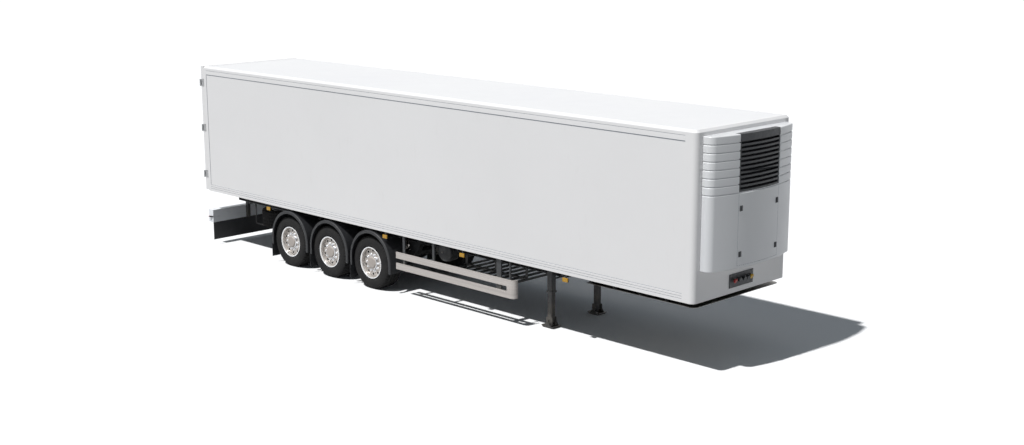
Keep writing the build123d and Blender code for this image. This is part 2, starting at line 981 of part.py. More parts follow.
# Mudguards, one over each wheel, with their flaps, on stays from the chassis beams

guard_z = tyre_radius + guard_raised


def guard_section(x, toward, z):
    # A mudguard's level section on its front side (toward = 1) or its rear side (-1).
    outline = (
        (guard_radius - guard_lip, guard_inner_y),
        (guard_radius, guard_inner_y),
        (guard_radius, side_y - guard_lip),
        (guard_radius - guard_lip, side_y),
        (guard_radius - guard_skirt, side_y),
        (guard_radius - guard_skirt, side_y - guard_sheet),
        (guard_radius - guard_lip - guard_sheet, side_y - guard_sheet),
        (guard_radius - guard_sheet, side_y - guard_lip - guard_sheet),
        (guard_radius - guard_sheet, guard_inner_y + guard_sheet),
        (guard_radius - guard_lip, guard_inner_y + guard_sheet),
    )
    with BuildSketch(Plane.XY.offset(z)) as section:
        Polygon(*((x + toward * reach, y) for reach, y in outline), align=None)
    return section.sketch


for sign, name in ((1, "left"), (-1, "right")):
    with BuildPart() as mudguards:
        for axle_x in axle_places:
            x = axle_x + guard_ahead
            # Half round over the wheel, then straight down at each end
            add(guard_section(x, 1, guard_z))
            revolve(axis=Axis((x, 0, guard_z), (0, -1, 0)), revolution_arc=180)
            for toward in (1, -1):
                add(guard_section(x, toward, guard_end_height))
                extrude(amount=guard_z - guard_end_height)
            block(
                (x - guard_radius, x - guard_radius + flap_thick),
                (guard_inner_y, side_y),
                (flap_low, guard_end_height),
            )
        if sign < 0:
            mirror(about=Plane.XZ)
            split(bisect_by=Plane.XZ, keep=Keep.TOP)
    write(mudguards, f"mudguards_{name}")

with BuildPart() as mudguard_stays:
    reach = guard_radius - guard_lip - seat_gap - stay_radius
    for axle_x in axle_places:
        for angle in stay_angles:
            stay_x = axle_x + guard_ahead + reach * cos(radians(angle))
            stay_z = guard_z + reach * sin(radians(angle))
            with BuildSketch(side_plane(side_y - stay_inset)):
                with Locations((stay_x, stay_z)):
                    Circle(stay_radius)
            extrude(amount=side_y - stay_inset - beam_offset - beam_web / 2)
    mirror(about=Plane.XZ)
write(mudguard_stays, "mudguard_stays")

# Rear bumper on two posts from a tie between the beams, its lamps and the flap below it

bumper_back = rear - bumper_reach
bumper_front = bumper_back + bumper_depth

with BuildPart() as rear_bumper:
    block((bumper_back, bumper_front), (-bumper_half, bumper_half), (bumper_low, bumper_high))
    block(
        (bumper_back + bumper_sheet, bumper_front - bumper_sheet),
        (bumper_sheet - bumper_half, bumper_half - bumper_sheet),
        (bumper_low + bumper_sheet, bumper_high - bumper_sheet),
        mode=Mode.SUBTRACT,
    )
write(rear_bumper, "rear_bumper")

with BuildPart() as bumper_posts:
    depth, width = bumper_post
    tie_low = beam_bottom + beam_flange_thick
    web_inner = beam_offset - beam_web / 2
    for y in both_sides((bumper_post_place - width / 2, bumper_post_place + width / 2)):
        block((bumper_front, bumper_front + depth), y, (bumper_low, tie_low))
    block(
        (rear + beam_rear + beam_flange_thick, bumper_front + depth),
        (-web_inner, web_inner),
        (tie_low, tie_low + rear_tie_height),
    )
write(bumper_posts, "bumper_posts")

with BuildPart() as spray_flap:
    block(
        (bumper_front - flap_thick, bumper_front),
        (-bumper_half, bumper_half),
        (spray_flap_low, bumper_low),
    )
write(spray_flap, "spray_flap")

with BuildPart() as rear_lamps:
    lamp_low = (bumper_low + bumper_high - rear_lamp_height) / 2
    lamp_inner = rear_lamp_place - rear_lamp_width / 2
    for y in both_sides((lamp_inner, lamp_inner + rear_lamp_width)):
        block(
            (bumper_back - rear_lamp_proud, bumper_back),
            y,
            (lamp_low, lamp_low + rear_lamp_height),
        )
    # Marker lamps on short rubber arms at the bumper's ends
    for sign in (1, -1):
        with BuildSketch(Plane.XY.offset(stalk_height)):
            Polygon(
                (bumper_front, sign * bumper_half),
                (bumper_front - stalk_root, sign * bumper_half),
                (rear - stalk_reach, sign * (side_y - stalk_lamp)),
                (rear - stalk_reach, sign * side_y),
                (rear - stalk_reach + stalk_lamp, sign * side_y),
                align=None,
            )
        extrude(amount=stalk_thick)
write(rear_lamps, "rear_lamps")

with BuildPart() as side_lamps:
    for x in side_lamp_places:
        length, depth, height = side_lamp
        block(
            (rear + x - length / 2, rear + x + length / 2),
            (side_y - depth, side_y),
            (side_lamp_low, side_lamp_low + height),
        )
        strap_width, strap_depth = side_lamp_strap
        block(
            (rear + x - strap_width / 2, rear + x + strap_width / 2),
            (side_y - depth, side_y - depth + strap_depth),
            (side_lamp_low + height, body_bottom),
        )
    mirror(about=Plane.XZ)
write(side_lamps, "side_lamps")

# Spare wheel's cradle: two bent rods under the tyre, hung from bars below the beams

cradle_low = spare_low - seat_gap - cradle_radius
bar_low = beam_bottom - cradle_bar

with BuildPart() as spare_cradle:
    for x in (cradle_rear, cradle_front):
        block(
            (rear + x - cradle_bar, rear + x + cradle_bar),
            (-beam_offset - beam_flange / 2, beam_offset + beam_flange / 2),
            (bar_low, beam_bottom),
        )
    rod_top_z = bar_low + cradle_bar / 2
    for y in (cradle_offset, -cradle_offset):
        with BuildLine() as rod_path:
            FilletPolyline(
                (rear + cradle_rear, y, rod_top_z),
                (rear + cradle_rear, y, cradle_low),
                (rear + cradle_front, y, cradle_low),
                (rear + cradle_front, y, rod_top_z),
                radius=cradle_bend,
            )
        with BuildSketch(Plane(origin=(rear + cradle_rear, y, rod_top_z), z_dir=(0, 0, -1))):
            Circle(cradle_radius)
        sweep(path=rod_path.wires()[0])
write(spare_cradle, "spare_cradle")

# Side guards: two rails that join in one sheet round the front, on dark posts

rail_inner_y = guard_rail_y - guard_rail_thick
rails_low = guard_rail_lows[0]
rails_top = guard_rail_lows[-1] + guard_rail
slot_low = rails_low + guard_rail

for sign, name in ((1, "left"), (-1, "right")):
    with BuildPart() as side_guard:
        with BuildSketch(Plane.XY.offset(rails_low)):
            with BuildLine():
                start = rear + guard_rear
                turn = rear + guard_straight_end
                centre = (turn, guard_rail_y - guard_return_radius)
                end_y = centre[1] - guard_return_straight
                inner_radius = guard_return_radius - guard_rail_thick
                Line((start, guard_rail_y), (turn, guard_rail_y))
                CenterArc(centre, guard_return_radius, 90, -90)
                Line((turn + guard_return_radius, centre[1]), (turn + guard_return_radius, end_y))
                Line((turn + guard_return_radius, end_y), (turn + inner_radius, end_y))
                Line((turn + inner_radius, end_y), (turn + inner_radius, centre[1]))
                CenterArc(centre, inner_radius, 0, 90)
                Line((turn, rail_inner_y), (start, rail_inner_y))
                Line((start, rail_inner_y), (start, guard_rail_y))
            make_face()
        extrude(amount=rails_top - rails_low)
        block(
            (start - 1, rear + guard_slot_end),
            (rail_inner_y - 1, guard_rail_y + 1),
            (slot_low, guard_rail_lows[-1]),
            mode=Mode.SUBTRACT,
        )
        if sign < 0:
            mirror(about=Plane.XZ)
            split(bisect_by=Plane.XZ, keep=Keep.TOP)
    write(side_guard, f"side_guard_{name}")

    with BuildPart() as guard_posts_one_side:
        for x, width, low in guard_posts:
            block(
                (rear + x - width / 2, rear + x + width / 2),
                sorted((sign * (rail_inner_y - guard_post_thick), sign * rail_inner_y)),
                (low, body_bottom),
            )
    write(guard_posts_one_side, f"guard_posts_{name}")

# Pallet rack of cross slats, hung from the beams

with BuildPart() as pallet_rack:
    slat_places = [rear + rack_first + rack_pitch * i for i in range(rack_slats)]
    bearer_half, bearer_height = rack_bearer[0] / 2, rack_bearer[1]
    hanger_half, hanger_thick = rack_hanger[0] / 2, rack_hanger[1]
    for x in slat_places:
        block(
            (x - slat_width / 2, x + slat_width / 2),
            (-slat_half, slat_half),
            (slat_low, slat_low + slat_thick),
        )
    for side in (1, -1):
        y = side * beam_offset
        block(
            (slat_places[0] - slat_width / 2, slat_places[-1] + slat_width / 2),
            (y - bearer_half, y + bearer_half),
            (slat_low, slat_low + bearer_height),
        )
        for x in (slat_places[0], slat_places[rack_slats // 2], slat_places[-1]):
            block(
                (x - hanger_half, x + hanger_half),
                (y - hanger_thick / 2, y + hanger_thick / 2),
                (slat_low + bearer_height, beam_bottom),
            )
write(pallet_rack, "pallet_rack")

# Landing legs: fixed outer tubes, and inner tubes that wind up and down in them

leg_y = leg_outer_y - leg_tube / 2
leg_x = rear + leg_place
leg_bore = leg_tube - 2 * leg_wall
inner_size = leg_bore - 2 * leg_slide_gap

with BuildPart() as leg_tubes:
    collar_thick, collar_height = leg_collar
    for y in (leg_y, -leg_y):
        with BuildSketch(Plane.XY.offset(leg_tube_low)):
            with Locations((leg_x, y)):
                Rectangle(leg_tube, leg_tube)
        extrude(amount=leg_tube_top - leg_tube_low)
        with BuildSketch(Plane.XY.offset(leg_tube_low)):
            with Locations((leg_x, y)):
                Rectangle(leg_tube + 2 * collar_thick, leg_tube + 2 * collar_thick)
        extrude(amount=collar_height)
        with BuildSketch(Plane.XY.offset(leg_tube_low)):
            with Locations((leg_x, y)):
                Rectangle(leg_bore, leg_bore)
        extrude(amount=leg_tube_top - leg_tube_low, mode=Mode.SUBTRACT)
    # Two plates from each tube to its beam's web
    for y in both_sides((beam_offset + beam_web / 2, leg_y - leg_tube / 2)):
        for x in (leg_x - leg_tube / 2, leg_x + leg_tube / 2 - leg_plate):
            block(
                (x, x + leg_plate),
                y,
                (beam_bottom + beam_flange_thick, body_bottom - beam_flange_thick),
            )
write(leg_tubes, "leg_tubes")

for sign, name in ((1, "left"), (-1, "right")):
    with BuildPart() as leg:
        with BuildSketch(Plane.XY.offset(leg_inner_low)):
            with Locations((leg_x, sign * leg_y)):
                Rectangle(inner_size, inner_size)
        extrude(amount=leg_inner_top - leg_inner_low)
        # Cheek plates on both sides of the tube's foot, on the shoe's pin
        plate_length, plate_height = foot_plate
        for side in (-1, 1):
            with BuildSketch(side_plane(sign * leg_y + side * (inner_size + leg_plate) / 2)):
                with Locations((leg_x, foot_low + plate_height / 2)):
                    RectangleRounded(plate_length, plate_height, foot_pin_radius)
                with Locations((leg_x, foot_hole_height)):
                    Circle(foot_pin_radius, mode=Mode.SUBTRACT)
            extrude(amount=leg_plate / 2, both=True)
        with BuildSketch(side_plane(sign * leg_y)):
            with Locations((leg_x, foot_low + foot_pin_radius)):
                Circle(foot_pin_radius)
        extrude(amount=shoe_width / 2 - shoe_thick, both=True)
        # The shoe: a pan with its ends turned up and its sides drawn up to the pin
        with BuildSketch(side_plane(sign * leg_y)):
            half = shoe_length / 2
            Polygon(
                (leg_x - half, shoe_rise),
                (leg_x - half + shoe_turn, 0),
                (leg_x + half - shoe_turn, 0),
                (leg_x + half, shoe_rise),
                (leg_x + half - shoe_thick, shoe_rise + shoe_thick / 2),
                (leg_x + half - shoe_turn - shoe_thick / 2, shoe_thick),
                (leg_x - half + shoe_turn + shoe_thick / 2, shoe_thick),
                (leg_x - half + shoe_thick, shoe_rise + shoe_thick / 2),
                align=None,
            )
        extrude(amount=shoe_width / 2, both=True)
        for side in (-1, 1):
            with BuildSketch(side_plane(sign * leg_y + side * (shoe_width - shoe_thick) / 2)):
                Polygon(
                    (leg_x - half + shoe_turn, 0),
                    (leg_x + half - shoe_turn, 0),
                    (leg_x + plate_length / 4, foot_low + 2 * foot_pin_radius),
                    (leg_x - plate_length / 4, foot_low + 2 * foot_pin_radius),
                    align=None,
                )
            extrude(amount=shoe_thick / 2, both=True)
    write(leg, f"leg_{name}")

with BuildPart() as leg_gear:
    # Cross shaft between the legs, and the gearbox with its folded crank on the left one
    inner_face = leg_y - leg_tube / 2
    with BuildSketch(side_plane(inner_face)):
        with Locations((leg_x, gear_shaft_height)):
            Circle(gear_shaft_radius)
    extrude(amount=2 * inner_face)
    length, depth, height = gearbox
    block(
        (leg_x - length / 2, leg_x + length / 2),
        (leg_outer_y, leg_outer_y + depth),
        (gear_shaft_height - height / 2, gear_shaft_height + height / 2),
    )
    chamfer(faces().sort_by(Axis.Y)[-1].edges(), crank_radius)
    crank_y = leg_outer_y + depth
    with BuildSketch(side_plane(crank_y + crank_offset)):
        with Locations((leg_x, gear_shaft_height)):
            Circle(crank_radius)
    extrude(amount=crank_offset + crank_radius)
    with BuildSketch(Plane.XY.offset(gear_shaft_height - crank_drop)):
        with Locations((leg_x, crank_y + crank_offset - crank_radius)):
            Circle(crank_radius)
    extrude(amount=crank_drop)
write(leg_gear, "leg_gear")

# Coupling panel low on the front wall

with BuildPart() as coupling_panel:
    block((body_front, body_front + panel_thick), (-panel_half, panel_half), (panel_low, panel_high))
write(coupling_panel, "coupling_panel")
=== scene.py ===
import json
from math import cos, pi, radians, sin, tau

import bmesh
import bpy
from mathutils import Matrix, Vector
from mathutils.bvhtree import BVHTree

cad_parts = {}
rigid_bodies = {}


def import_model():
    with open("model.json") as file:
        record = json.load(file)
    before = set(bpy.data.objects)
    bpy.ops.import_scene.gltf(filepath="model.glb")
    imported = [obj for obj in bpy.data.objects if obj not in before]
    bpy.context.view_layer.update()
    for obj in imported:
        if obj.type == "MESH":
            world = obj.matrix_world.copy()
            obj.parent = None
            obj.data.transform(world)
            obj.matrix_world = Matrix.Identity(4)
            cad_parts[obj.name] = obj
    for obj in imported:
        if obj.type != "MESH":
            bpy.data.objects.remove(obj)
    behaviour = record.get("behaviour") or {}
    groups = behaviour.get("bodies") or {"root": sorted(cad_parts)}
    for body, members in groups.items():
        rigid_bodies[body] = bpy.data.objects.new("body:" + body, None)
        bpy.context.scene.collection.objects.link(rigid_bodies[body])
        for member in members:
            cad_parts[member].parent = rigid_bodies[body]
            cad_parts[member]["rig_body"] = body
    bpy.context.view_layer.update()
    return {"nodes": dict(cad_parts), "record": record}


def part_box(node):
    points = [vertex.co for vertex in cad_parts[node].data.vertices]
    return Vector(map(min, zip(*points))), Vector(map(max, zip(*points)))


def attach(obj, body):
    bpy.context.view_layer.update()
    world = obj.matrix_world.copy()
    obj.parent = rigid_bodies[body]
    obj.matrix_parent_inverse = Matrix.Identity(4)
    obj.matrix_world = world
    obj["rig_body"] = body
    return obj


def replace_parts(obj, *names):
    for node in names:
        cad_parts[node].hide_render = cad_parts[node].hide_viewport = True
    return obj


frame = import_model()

# A three-axle refrigerated box semi-trailer, dressed over its solids. Metres.

body_of = {node: thing["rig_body"] for node, thing in frame["nodes"].items()}
slot_of = {row["node"]: row["material_slot"] for row in frame["record"]["subparts"]}
SHARP = radians(32)
SIDES = {"left": 1, "right": -1}
AXLES = ("rear", "middle", "front")


def low(node):
    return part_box(node)[0]


def high(node):
    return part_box(node)[1]


def middle(node):
    return (low(node) + high(node)) / 2


# Camera

LENS = 50.4
CAMERA_PLACE = Vector((20.01, -18.581, 7.271))
CAMERA_YAW = radians(45.041)
CAMERA_DIP = radians(12.227)
CAMERA_ROLL = radians(-0.098)

camera = bpy.data.objects.new("camera", bpy.data.cameras.new("camera"))
camera.data.lens = LENS
camera.data.sensor_width = 36
camera.data.clip_end = 500
camera.matrix_world = (
    Matrix.Translation(CAMERA_PLACE)
    @ Matrix.Rotation(CAMERA_YAW, 4, "Z")
    @ Matrix.Rotation(pi / 2 - CAMERA_DIP, 4, "X")
    @ Matrix.Rotation(CAMERA_ROLL, 4, "Z")
)
bpy.context.scene.collection.objects.link(camera)
bpy.context.scene.camera = camera
bpy.context.scene.view_settings.view_transform = "Standard"

# Light: one soft sun from the right side, and a pale sky

SUN_TRAVEL = Vector((0.05, 0.585, -1))
SUN_STRENGTH = 3.5
SUN_SOFTNESS = radians(1.5)
SKY = (0.8, 0.9, 1.0)
SKY_STRENGTH = 0.17
FLOOR_BOUNCE = 0.32
FLOOR_SIZE = 600

sun = bpy.data.objects.new("sun", bpy.data.lights.new("sun", "SUN"))
sun.data.energy = SUN_STRENGTH
sun.data.angle = SUN_SOFTNESS
sun.rotation_mode = "QUATERNION"
sun.rotation_quaternion = SUN_TRAVEL.to_track_quat("-Z", "Y")
bpy.context.scene.collection.objects.link(sun)


def seen_directly(tree):
    # 1 for the camera and for what gloss and glass show, 0 for light that falls on the object.
    rays = tree.nodes.new("ShaderNodeLightPath")
    total = rays.outputs["Is Camera Ray"]
    for name in ("Is Glossy Ray", "Is Transmission Ray"):
        both = tree.nodes.new("ShaderNodeMath")
        both.operation = "MAXIMUM"
        tree.links.new(total, both.inputs[0])
        tree.links.new(rays.outputs[name], both.inputs[1])
        total = both.outputs[0]
    return total


def make_sky():
    world = bpy.data.worlds.new("studio")
    world.use_nodes = True
    tree = world.node_tree
    tree.nodes.clear()
    shown = tree.nodes.new("ShaderNodeBackground")
    shown.inputs["Color"].default_value = (1, 1, 1, 1)
    shown.inputs["Strength"].default_value = 1
    lit = tree.nodes.new("ShaderNodeBackground")
    lit.inputs["Color"].default_value = (*SKY, 1)
    lit.inputs["Strength"].default_value = SKY_STRENGTH
    mix = tree.nodes.new("ShaderNodeMixShader")
    out = tree.nodes.new("ShaderNodeOutputWorld")
    tree.links.new(seen_directly(tree), mix.inputs["Fac"])
    tree.links.new(lit.outputs[0], mix.inputs[1])
    tree.links.new(shown.outputs[0], mix.inputs[2])
    tree.links.new(mix.outputs[0], out.inputs["Surface"])
    bpy.context.scene.world = world


def make_floor():
    bm = bmesh.new()
    bmesh.ops.create_grid(bm, x_segments=1, y_segments=1, size=FLOOR_SIZE / 2)
    mesh = bpy.data.meshes.new("floor")
    bm.to_mesh(mesh)
    floor = bpy.data.objects.new("floor", mesh)
    bpy.context.scene.collection.objects.link(floor)
    material = bpy.data.materials.new("pale_floor")
    material.use_nodes = True
    tree = material.node_tree
    shader = tree.nodes["Principled BSDF"]
    shader.inputs["Roughness"].default_value = 1
    shader.inputs["Specular IOR Level"].default_value = 0
    mix = tree.nodes.new("ShaderNodeMix")
    mix.data_type = "RGBA"
    mix.inputs["A"].default_value = (FLOOR_BOUNCE, FLOOR_BOUNCE, FLOOR_BOUNCE, 1)
    mix.inputs["B"].default_value = (1, 1, 1, 1)
    tree.links.new(seen_directly(tree), mix.inputs["Factor"])
    tree.links.new(mix.outputs["Result"], shader.inputs["Base Color"])
    mesh.materials.append(material)


make_sky()
make_floor()

# Materials


def linear(red, green, blue):
    # A colour as a screen shows it, from 0 to 255, as light.
    def one(v):
        v /= 255
        return v / 12.92 if v <= 0.04045 else ((v + 0.055) / 1.055) ** 2.4

    return (one(red), one(green), one(blue), 1)


NOISE_COARSENESS = 0.55


class Finish:
    # A material whose patterns lie on the object's own coordinates.

    def __init__(self, name, roughness, metal=0.0, gloss=0.5):
        self.material = bpy.data.materials.new(name)
        self.material.use_nodes = True
        self.tree = self.material.node_tree
        self.shader = self.tree.nodes["Principled BSDF"]
        self.shader.inputs["Roughness"].default_value = roughness
        self.shader.inputs["Metallic"].default_value = metal
        self.shader.inputs["Specular IOR Level"].default_value = gloss
        self.place = self.tree.nodes.new("ShaderNodeTexCoord").outputs["Object"]

    def node(self, kind, **settings):
        made = self.tree.nodes.new(kind)
        for name, value in settings.items():
            setattr(made, name, value)
        return made

    def link(self, output, target):
        self.tree.links.new(output, target)

    def noise(self, scale, detail, stretch=(1, 1, 1)):
        mapping = self.node("ShaderNodeMapping")
        mapping.inputs["Scale"].default_value = stretch
        self.link(self.place, mapping.inputs["Vector"])
        made = self.node("ShaderNodeTexNoise")
        made.inputs["Scale"].default_value = scale
        made.inputs["Detail"].default_value = detail
        made.inputs["Roughness"].default_value = NOISE_COARSENESS
        self.link(mapping.outputs[0], made.inputs["Vector"])
        return made.outputs["Fac"]

    def cells(self, scale):
        made = self.node("ShaderNodeTexVoronoi")
        made.inputs["Scale"].default_value = scale
        self.link(self.place, made.inputs["Vector"])
        return made

    def ribs(self, scale):
        made = self.node("ShaderNodeTexWave", bands_direction="X")
        made.inputs["Scale"].default_value = scale
        self.link(self.place, made.inputs["Vector"])
        return made.outputs["Fac"]

    def height(self):
        apart = self.node("ShaderNodeSeparateXYZ")
        self.link(self.place, apart.inputs[0])
        return apart.outputs["Z"]

    def span(self, value, start, end, to_start=0.0, to_end=1.0):
        made = self.node("ShaderNodeMapRange")
        made.inputs["From Min"].default_value = start
        made.inputs["From Max"].default_value = end
        made.inputs["To Min"].default_value = to_start
        made.inputs["To Max"].default_value = to_end
        self.link(value, made.inputs["Value"])
        return made.outputs[0]

    def times(self, first, second):
        made = self.node("ShaderNodeMath", operation="MULTIPLY")
        self.link(first, made.inputs[0])
        self.link(second, made.inputs[1])
        return made.outputs[0]

    def blend(self, share, first, second):
        # Each of the two is an output, or a colour as a screen shows it.
        made = self.node("ShaderNodeMix", data_type="RGBA")
        self.link(share, made.inputs["Factor"])
        for name, value in (("A", first), ("B", second)):
            if isinstance(value, tuple):
                made.inputs[name].default_value = linear(*value)
            else:
                self.link(value, made.inputs[name])
        return made.outputs["Result"]

    def two_tones(self, pattern, first, second, start=0.35, end=0.7):
        # The pattern between start and end runs softly from the first tone to the second.
        return self.blend(self.span(pattern, start, end), first, second)

    def colour(self, output):
        self.link(output, self.shader.inputs["Base Color"])

    def rough(self, share, smooth, coarse):
        self.link(self.span(share, 0.3, 0.7, smooth, coarse), self.shader.inputs["Roughness"])

    def bump(self, height, distance, strength):
        made = self.node("ShaderNodeBump")
        made.inputs["Distance"].default_value = distance
        made.inputs["Strength"].default_value = strength
        self.link(height, made.inputs["Height"])
        self.link(made.outputs[0], self.shader.inputs["Normal"])


GRIME = (190, 186, 180)
RUST_STAIN = (120, 118, 114)
ROAD_DUST = (132, 124, 112)
SCUFF = (128, 128, 128)
GRIT = (160, 160, 160)


def coated_white(name, light, dark, roughness, coat):
    # Moulded or coated white skin: a faint cloudy tone, with fine specks of grime.
    finish = Finish(name, roughness)
    tone = finish.two_tones(finish.noise(0.35, 4), light, dark, end=0.65)
    specks = finish.span(finish.noise(9, 6, (1, 1, 0.25)), 0.62, 0.8, 0, 0.08)
    finish.colour(finish.blend(specks, tone, GRIME))
    finish.rough(finish.noise(2.5, 4), roughness - 0.05, roughness + 0.07)
    finish.bump(finish.noise(18, 2), 0.0004, 0.25)
    finish.shader.inputs["Coat Weight"].default_value = coat
    finish.shader.inputs["Coat Roughness"].default_value = 0.12
    return finish.material


def tyre_rubber():
    finish = Finish("tyre_rubber", 0.86, gloss=0.22)
    finish.colour(finish.two_tones(finish.noise(6, 5), (34, 34, 35), (46, 45, 44), end=0.75))
    finish.rough(finish.noise(40, 3), 0.78, 0.92)
    finish.bump(finish.noise(260, 3), 0.0012, 0.5)
    return finish.material


def moulded_black(name, dark, light, grain, roughness):
    finish = Finish(name, roughness, gloss=0.4)
    finish.colour(finish.two_tones(finish.noise(3, 5), dark, light))
    finish.rough(finish.noise(20, 3), roughness - 0.07, roughness + 0.08)
    finish.bump(finish.cells(grain).outputs["Distance"], 0.0006, 0.5)
    return finish.material


def bright_rim(name, light, dark, roughness, metal=1.0):
    # Polished metal with a faint mottle in its tone and gloss.
    finish = Finish(name, roughness, metal=metal)
    finish.colour(finish.two_tones(finish.noise(14, 4), light, dark, start=0.3))
    finish.rough(finish.noise(30, 4), roughness - 0.06, roughness + 0.1)
    finish.bump(finish.noise(180, 2), 0.0003, 0.25)
    return finish.material


def zinc_coat():
    finish = Finish("galvanised", 0.5, metal=0.35)
    flakes = finish.cells(55)
    tone = finish.blend(flakes.outputs["Color"], (166, 167, 169), (188, 189, 190))
    stains = finish.span(finish.noise(7, 5), 0.5, 0.8, 0, 0.5)
    finish.colour(finish.blend(stains, tone, RUST_STAIN))
    finish.rough(finish.noise(18, 3), 0.34, 0.55)
    finish.bump(flakes.outputs["Distance"], 0.0002, 0.3)
    return finish.material


def chassis_paint():
    # Dark coat with pale road dust low down.
    finish = Finish("dark_chassis", 0.5)
    tone = finish.two_tones(finish.noise(4, 5), (40, 42, 45), (54, 56, 59))
    low_down = finish.span(finish.height(), 1.1, 0.2, 0, 0.45)
    patches = finish.span(finish.noise(5, 6), 0.35, 0.7)
    finish.colour(finish.blend(finish.times(low_down, patches), tone, ROAD_DUST))
    finish.rough(finish.noise(12, 4), 0.42, 0.66)
    finish.bump(finish.noise(60, 3), 0.0006, 0.3)
    return finish.material


def bare_steel():
    finish = Finish("bare_steel", 0.35, metal=0.9)
    smear = finish.span(finish.noise(5, 6, (1, 6, 1)), 0.4, 0.7)
    finish.colour(finish.blend(smear, (128, 126, 122), (70, 64, 58)))
    finish.rough(smear, 0.28, 0.5)
    finish.bump(finish.noise(35, 4, (1, 8, 1)), 0.0005, 0.4)
    return finish.material


def anodised_rail():
    finish = Finish("guard_rail", 0.55, metal=0.25)
    streaks = finish.noise(3, 5, (0.08, 1, 9))
    finish.colour(finish.two_tones(streaks, (196, 190, 186), (180, 174, 169)))
    finish.rough(streaks, 0.48, 0.62)
    finish.bump(finish.noise(8, 4, (0.05, 1, 30)), 0.0002, 0.35)
    return finish.material


def painted_bumper():
    finish = Finish("pale_bumper", 0.4, metal=0.1)
    tone = finish.two_tones(finish.noise(3, 5), (243, 245, 248), (232, 235, 239))
    scuffs = finish.span(finish.noise(16, 6, (1, 0.2, 2)), 0.6, 0.8, 0, 0.5)
    finish.colour(finish.blend(scuffs, tone, SCUFF))
    finish.rough(finish.noise(14, 4), 0.38, 0.58)
    finish.bump(finish.noise(50, 3), 0.0004, 0.3)
    return finish.material


def satin_disc_painted_shade():
    # The wheel disc between its cover and its lip: duller than the lip, and painted darker as
    # shade and dark reflection inside the rim.
    finish = Finish("satin_disc_painted_shade", 0.3, metal=0.45)
    mottle = finish.noise(22, 5)
    finish.colour(finish.two_tones(mottle, (184, 177, 171), (150, 145, 140)))
    finish.rough(mottle, 0.22, 0.38)
    finish.bump(finish.noise(150, 2), 0.0003, 0.3)
    return finish.material


def cover_coat():
    finish = Finish("hub_cover", 0.42)
    finish.colour(finish.two_tones(finish.noise(9, 5), (180, 172, 166), (170, 162, 155)))
    finish.rough(finish.noise(30, 3), 0.36, 0.5)
    finish.bump(finish.noise(90, 3), 0.0003, 0.3)
    return finish.material


def seal_and_shade_strip():
    # Bluish dark grey for seals and seams, and painted shade for the strips along the body's rails
    # and in its grooves.
    finish = Finish("seal_and_shade_strip", 0.6)
    finish.colour(finish.two_tones(finish.noise(5, 4), (120, 128, 140), (106, 114, 124)))
    finish.rough(finish.noise(20, 3), 0.5, 0.7)
    finish.bump(finish.noise(60, 3), 0.0002, 0.3)
    return finish.material


def coloured_cap(name, first, second):
    finish = Finish(name, 0.4)
    finish.colour(finish.two_tones(finish.noise(12, 4), first, second))
    finish.rough(finish.noise(25, 3), 0.34, 0.5)
    finish.bump(finish.noise(120, 3), 0.0003, 0.3)
    return finish.material


def lens(name, colour, glow, fineness):
    # Moulded lens: fine ribs under a glossy face.
    finish = Finish(name, 0.3, gloss=0.3)
    ribs = finish.ribs(fineness)
    finish.colour(finish.two_tones(ribs, colour, glow, 0, 1))
    finish.bump(ribs, 0.001, 0.5)
    finish.shader.inputs["Coat Weight"].default_value = 0.15
    return finish.material


def floor_resin():
    finish = Finish("grey_floor", 0.7)
    grit = finish.cells(320).outputs["Distance"]
    tone = finish.two_tones(finish.noise(3, 5), (120, 122, 124), (98, 100, 102))
    finish.colour(finish.blend(finish.span(grit, 0, 0.5, 0, 0.25), tone, GRIT))
    finish.rough(finish.noise(25, 3), 0.6, 0.8)
    finish.bump(grit, 0.0012, 0.6)
    return finish.material


finishes = {
    "white_panel": coated_white("white_panel", (238, 237, 237), (235, 234, 234), 0.42, 0.2),
    "white_rail": coated_white("white_rail", (240, 239, 239), (236, 235, 235), 0.4, 0.2),
    "white_housing": coated_white("white_housing", (229, 230, 231), (222, 223, 226), 0.36, 0.35),
    "grey_floor": floor_resin(),
    "black_plastic": moulded_black("black_plastic", (40, 42, 46), (52, 54, 58), 500, 0.5),
    "black_rubber": moulded_black("black_rubber", (34, 35, 38), (46, 47, 49), 420, 0.55),
    "spring_rubber": moulded_black("spring_rubber", (34, 34, 35), (48, 48, 48), 350, 0.62),
    "tyre_rubber": tyre_rubber(),
    "polished_rim": bright_rim("polished_rim", (232, 229, 226), (218, 214, 210), 0.16, 0.6),
    "silver_rim": bright_rim("silver_rim", (176, 178, 182), (158, 160, 164), 0.36),
    "galvanised": zinc_coat(),
    "guard_rail": anodised_rail(),
    "pale_bumper": painted_bumper(),
    "red_lens": lens("red_lens", (150, 16, 14), (196, 30, 24), 40),
    "amber_lens": lens("amber_lens", (172, 124, 16), (198, 154, 38), 60),
    "bare_steel": bare_steel(),
    "dark_chassis": chassis_paint(),
}
satin_painted_shade = satin_disc_painted_shade()
cover_finish = cover_coat()
# The roof gets a darker copy of the white panel: painted shade against the sun that falls on its
# top.
roof_painted_shade = coated_white("white_roof_painted_shade", (229, 229, 230), (226, 226, 228), 0.42, 0.2)
nut_finish = bright_rim("bright_nuts", (238, 240, 243), (222, 224, 228), 0.12)
red_cap = coloured_cap("red_cap", (168, 26, 22), (150, 20, 18))
yellow_cap = coloured_cap("yellow_cap", (214, 168, 24), (196, 150, 16))
seal_and_shade = seal_and_shade_strip()
clear_lens = lens("clear_lens", (206, 208, 210), (230, 231, 232), 50)

# The lamps of the load space are lit
LAMP_GLOW = (1, 0.97, 0.92, 1)
LAMP_STRENGTH = 22

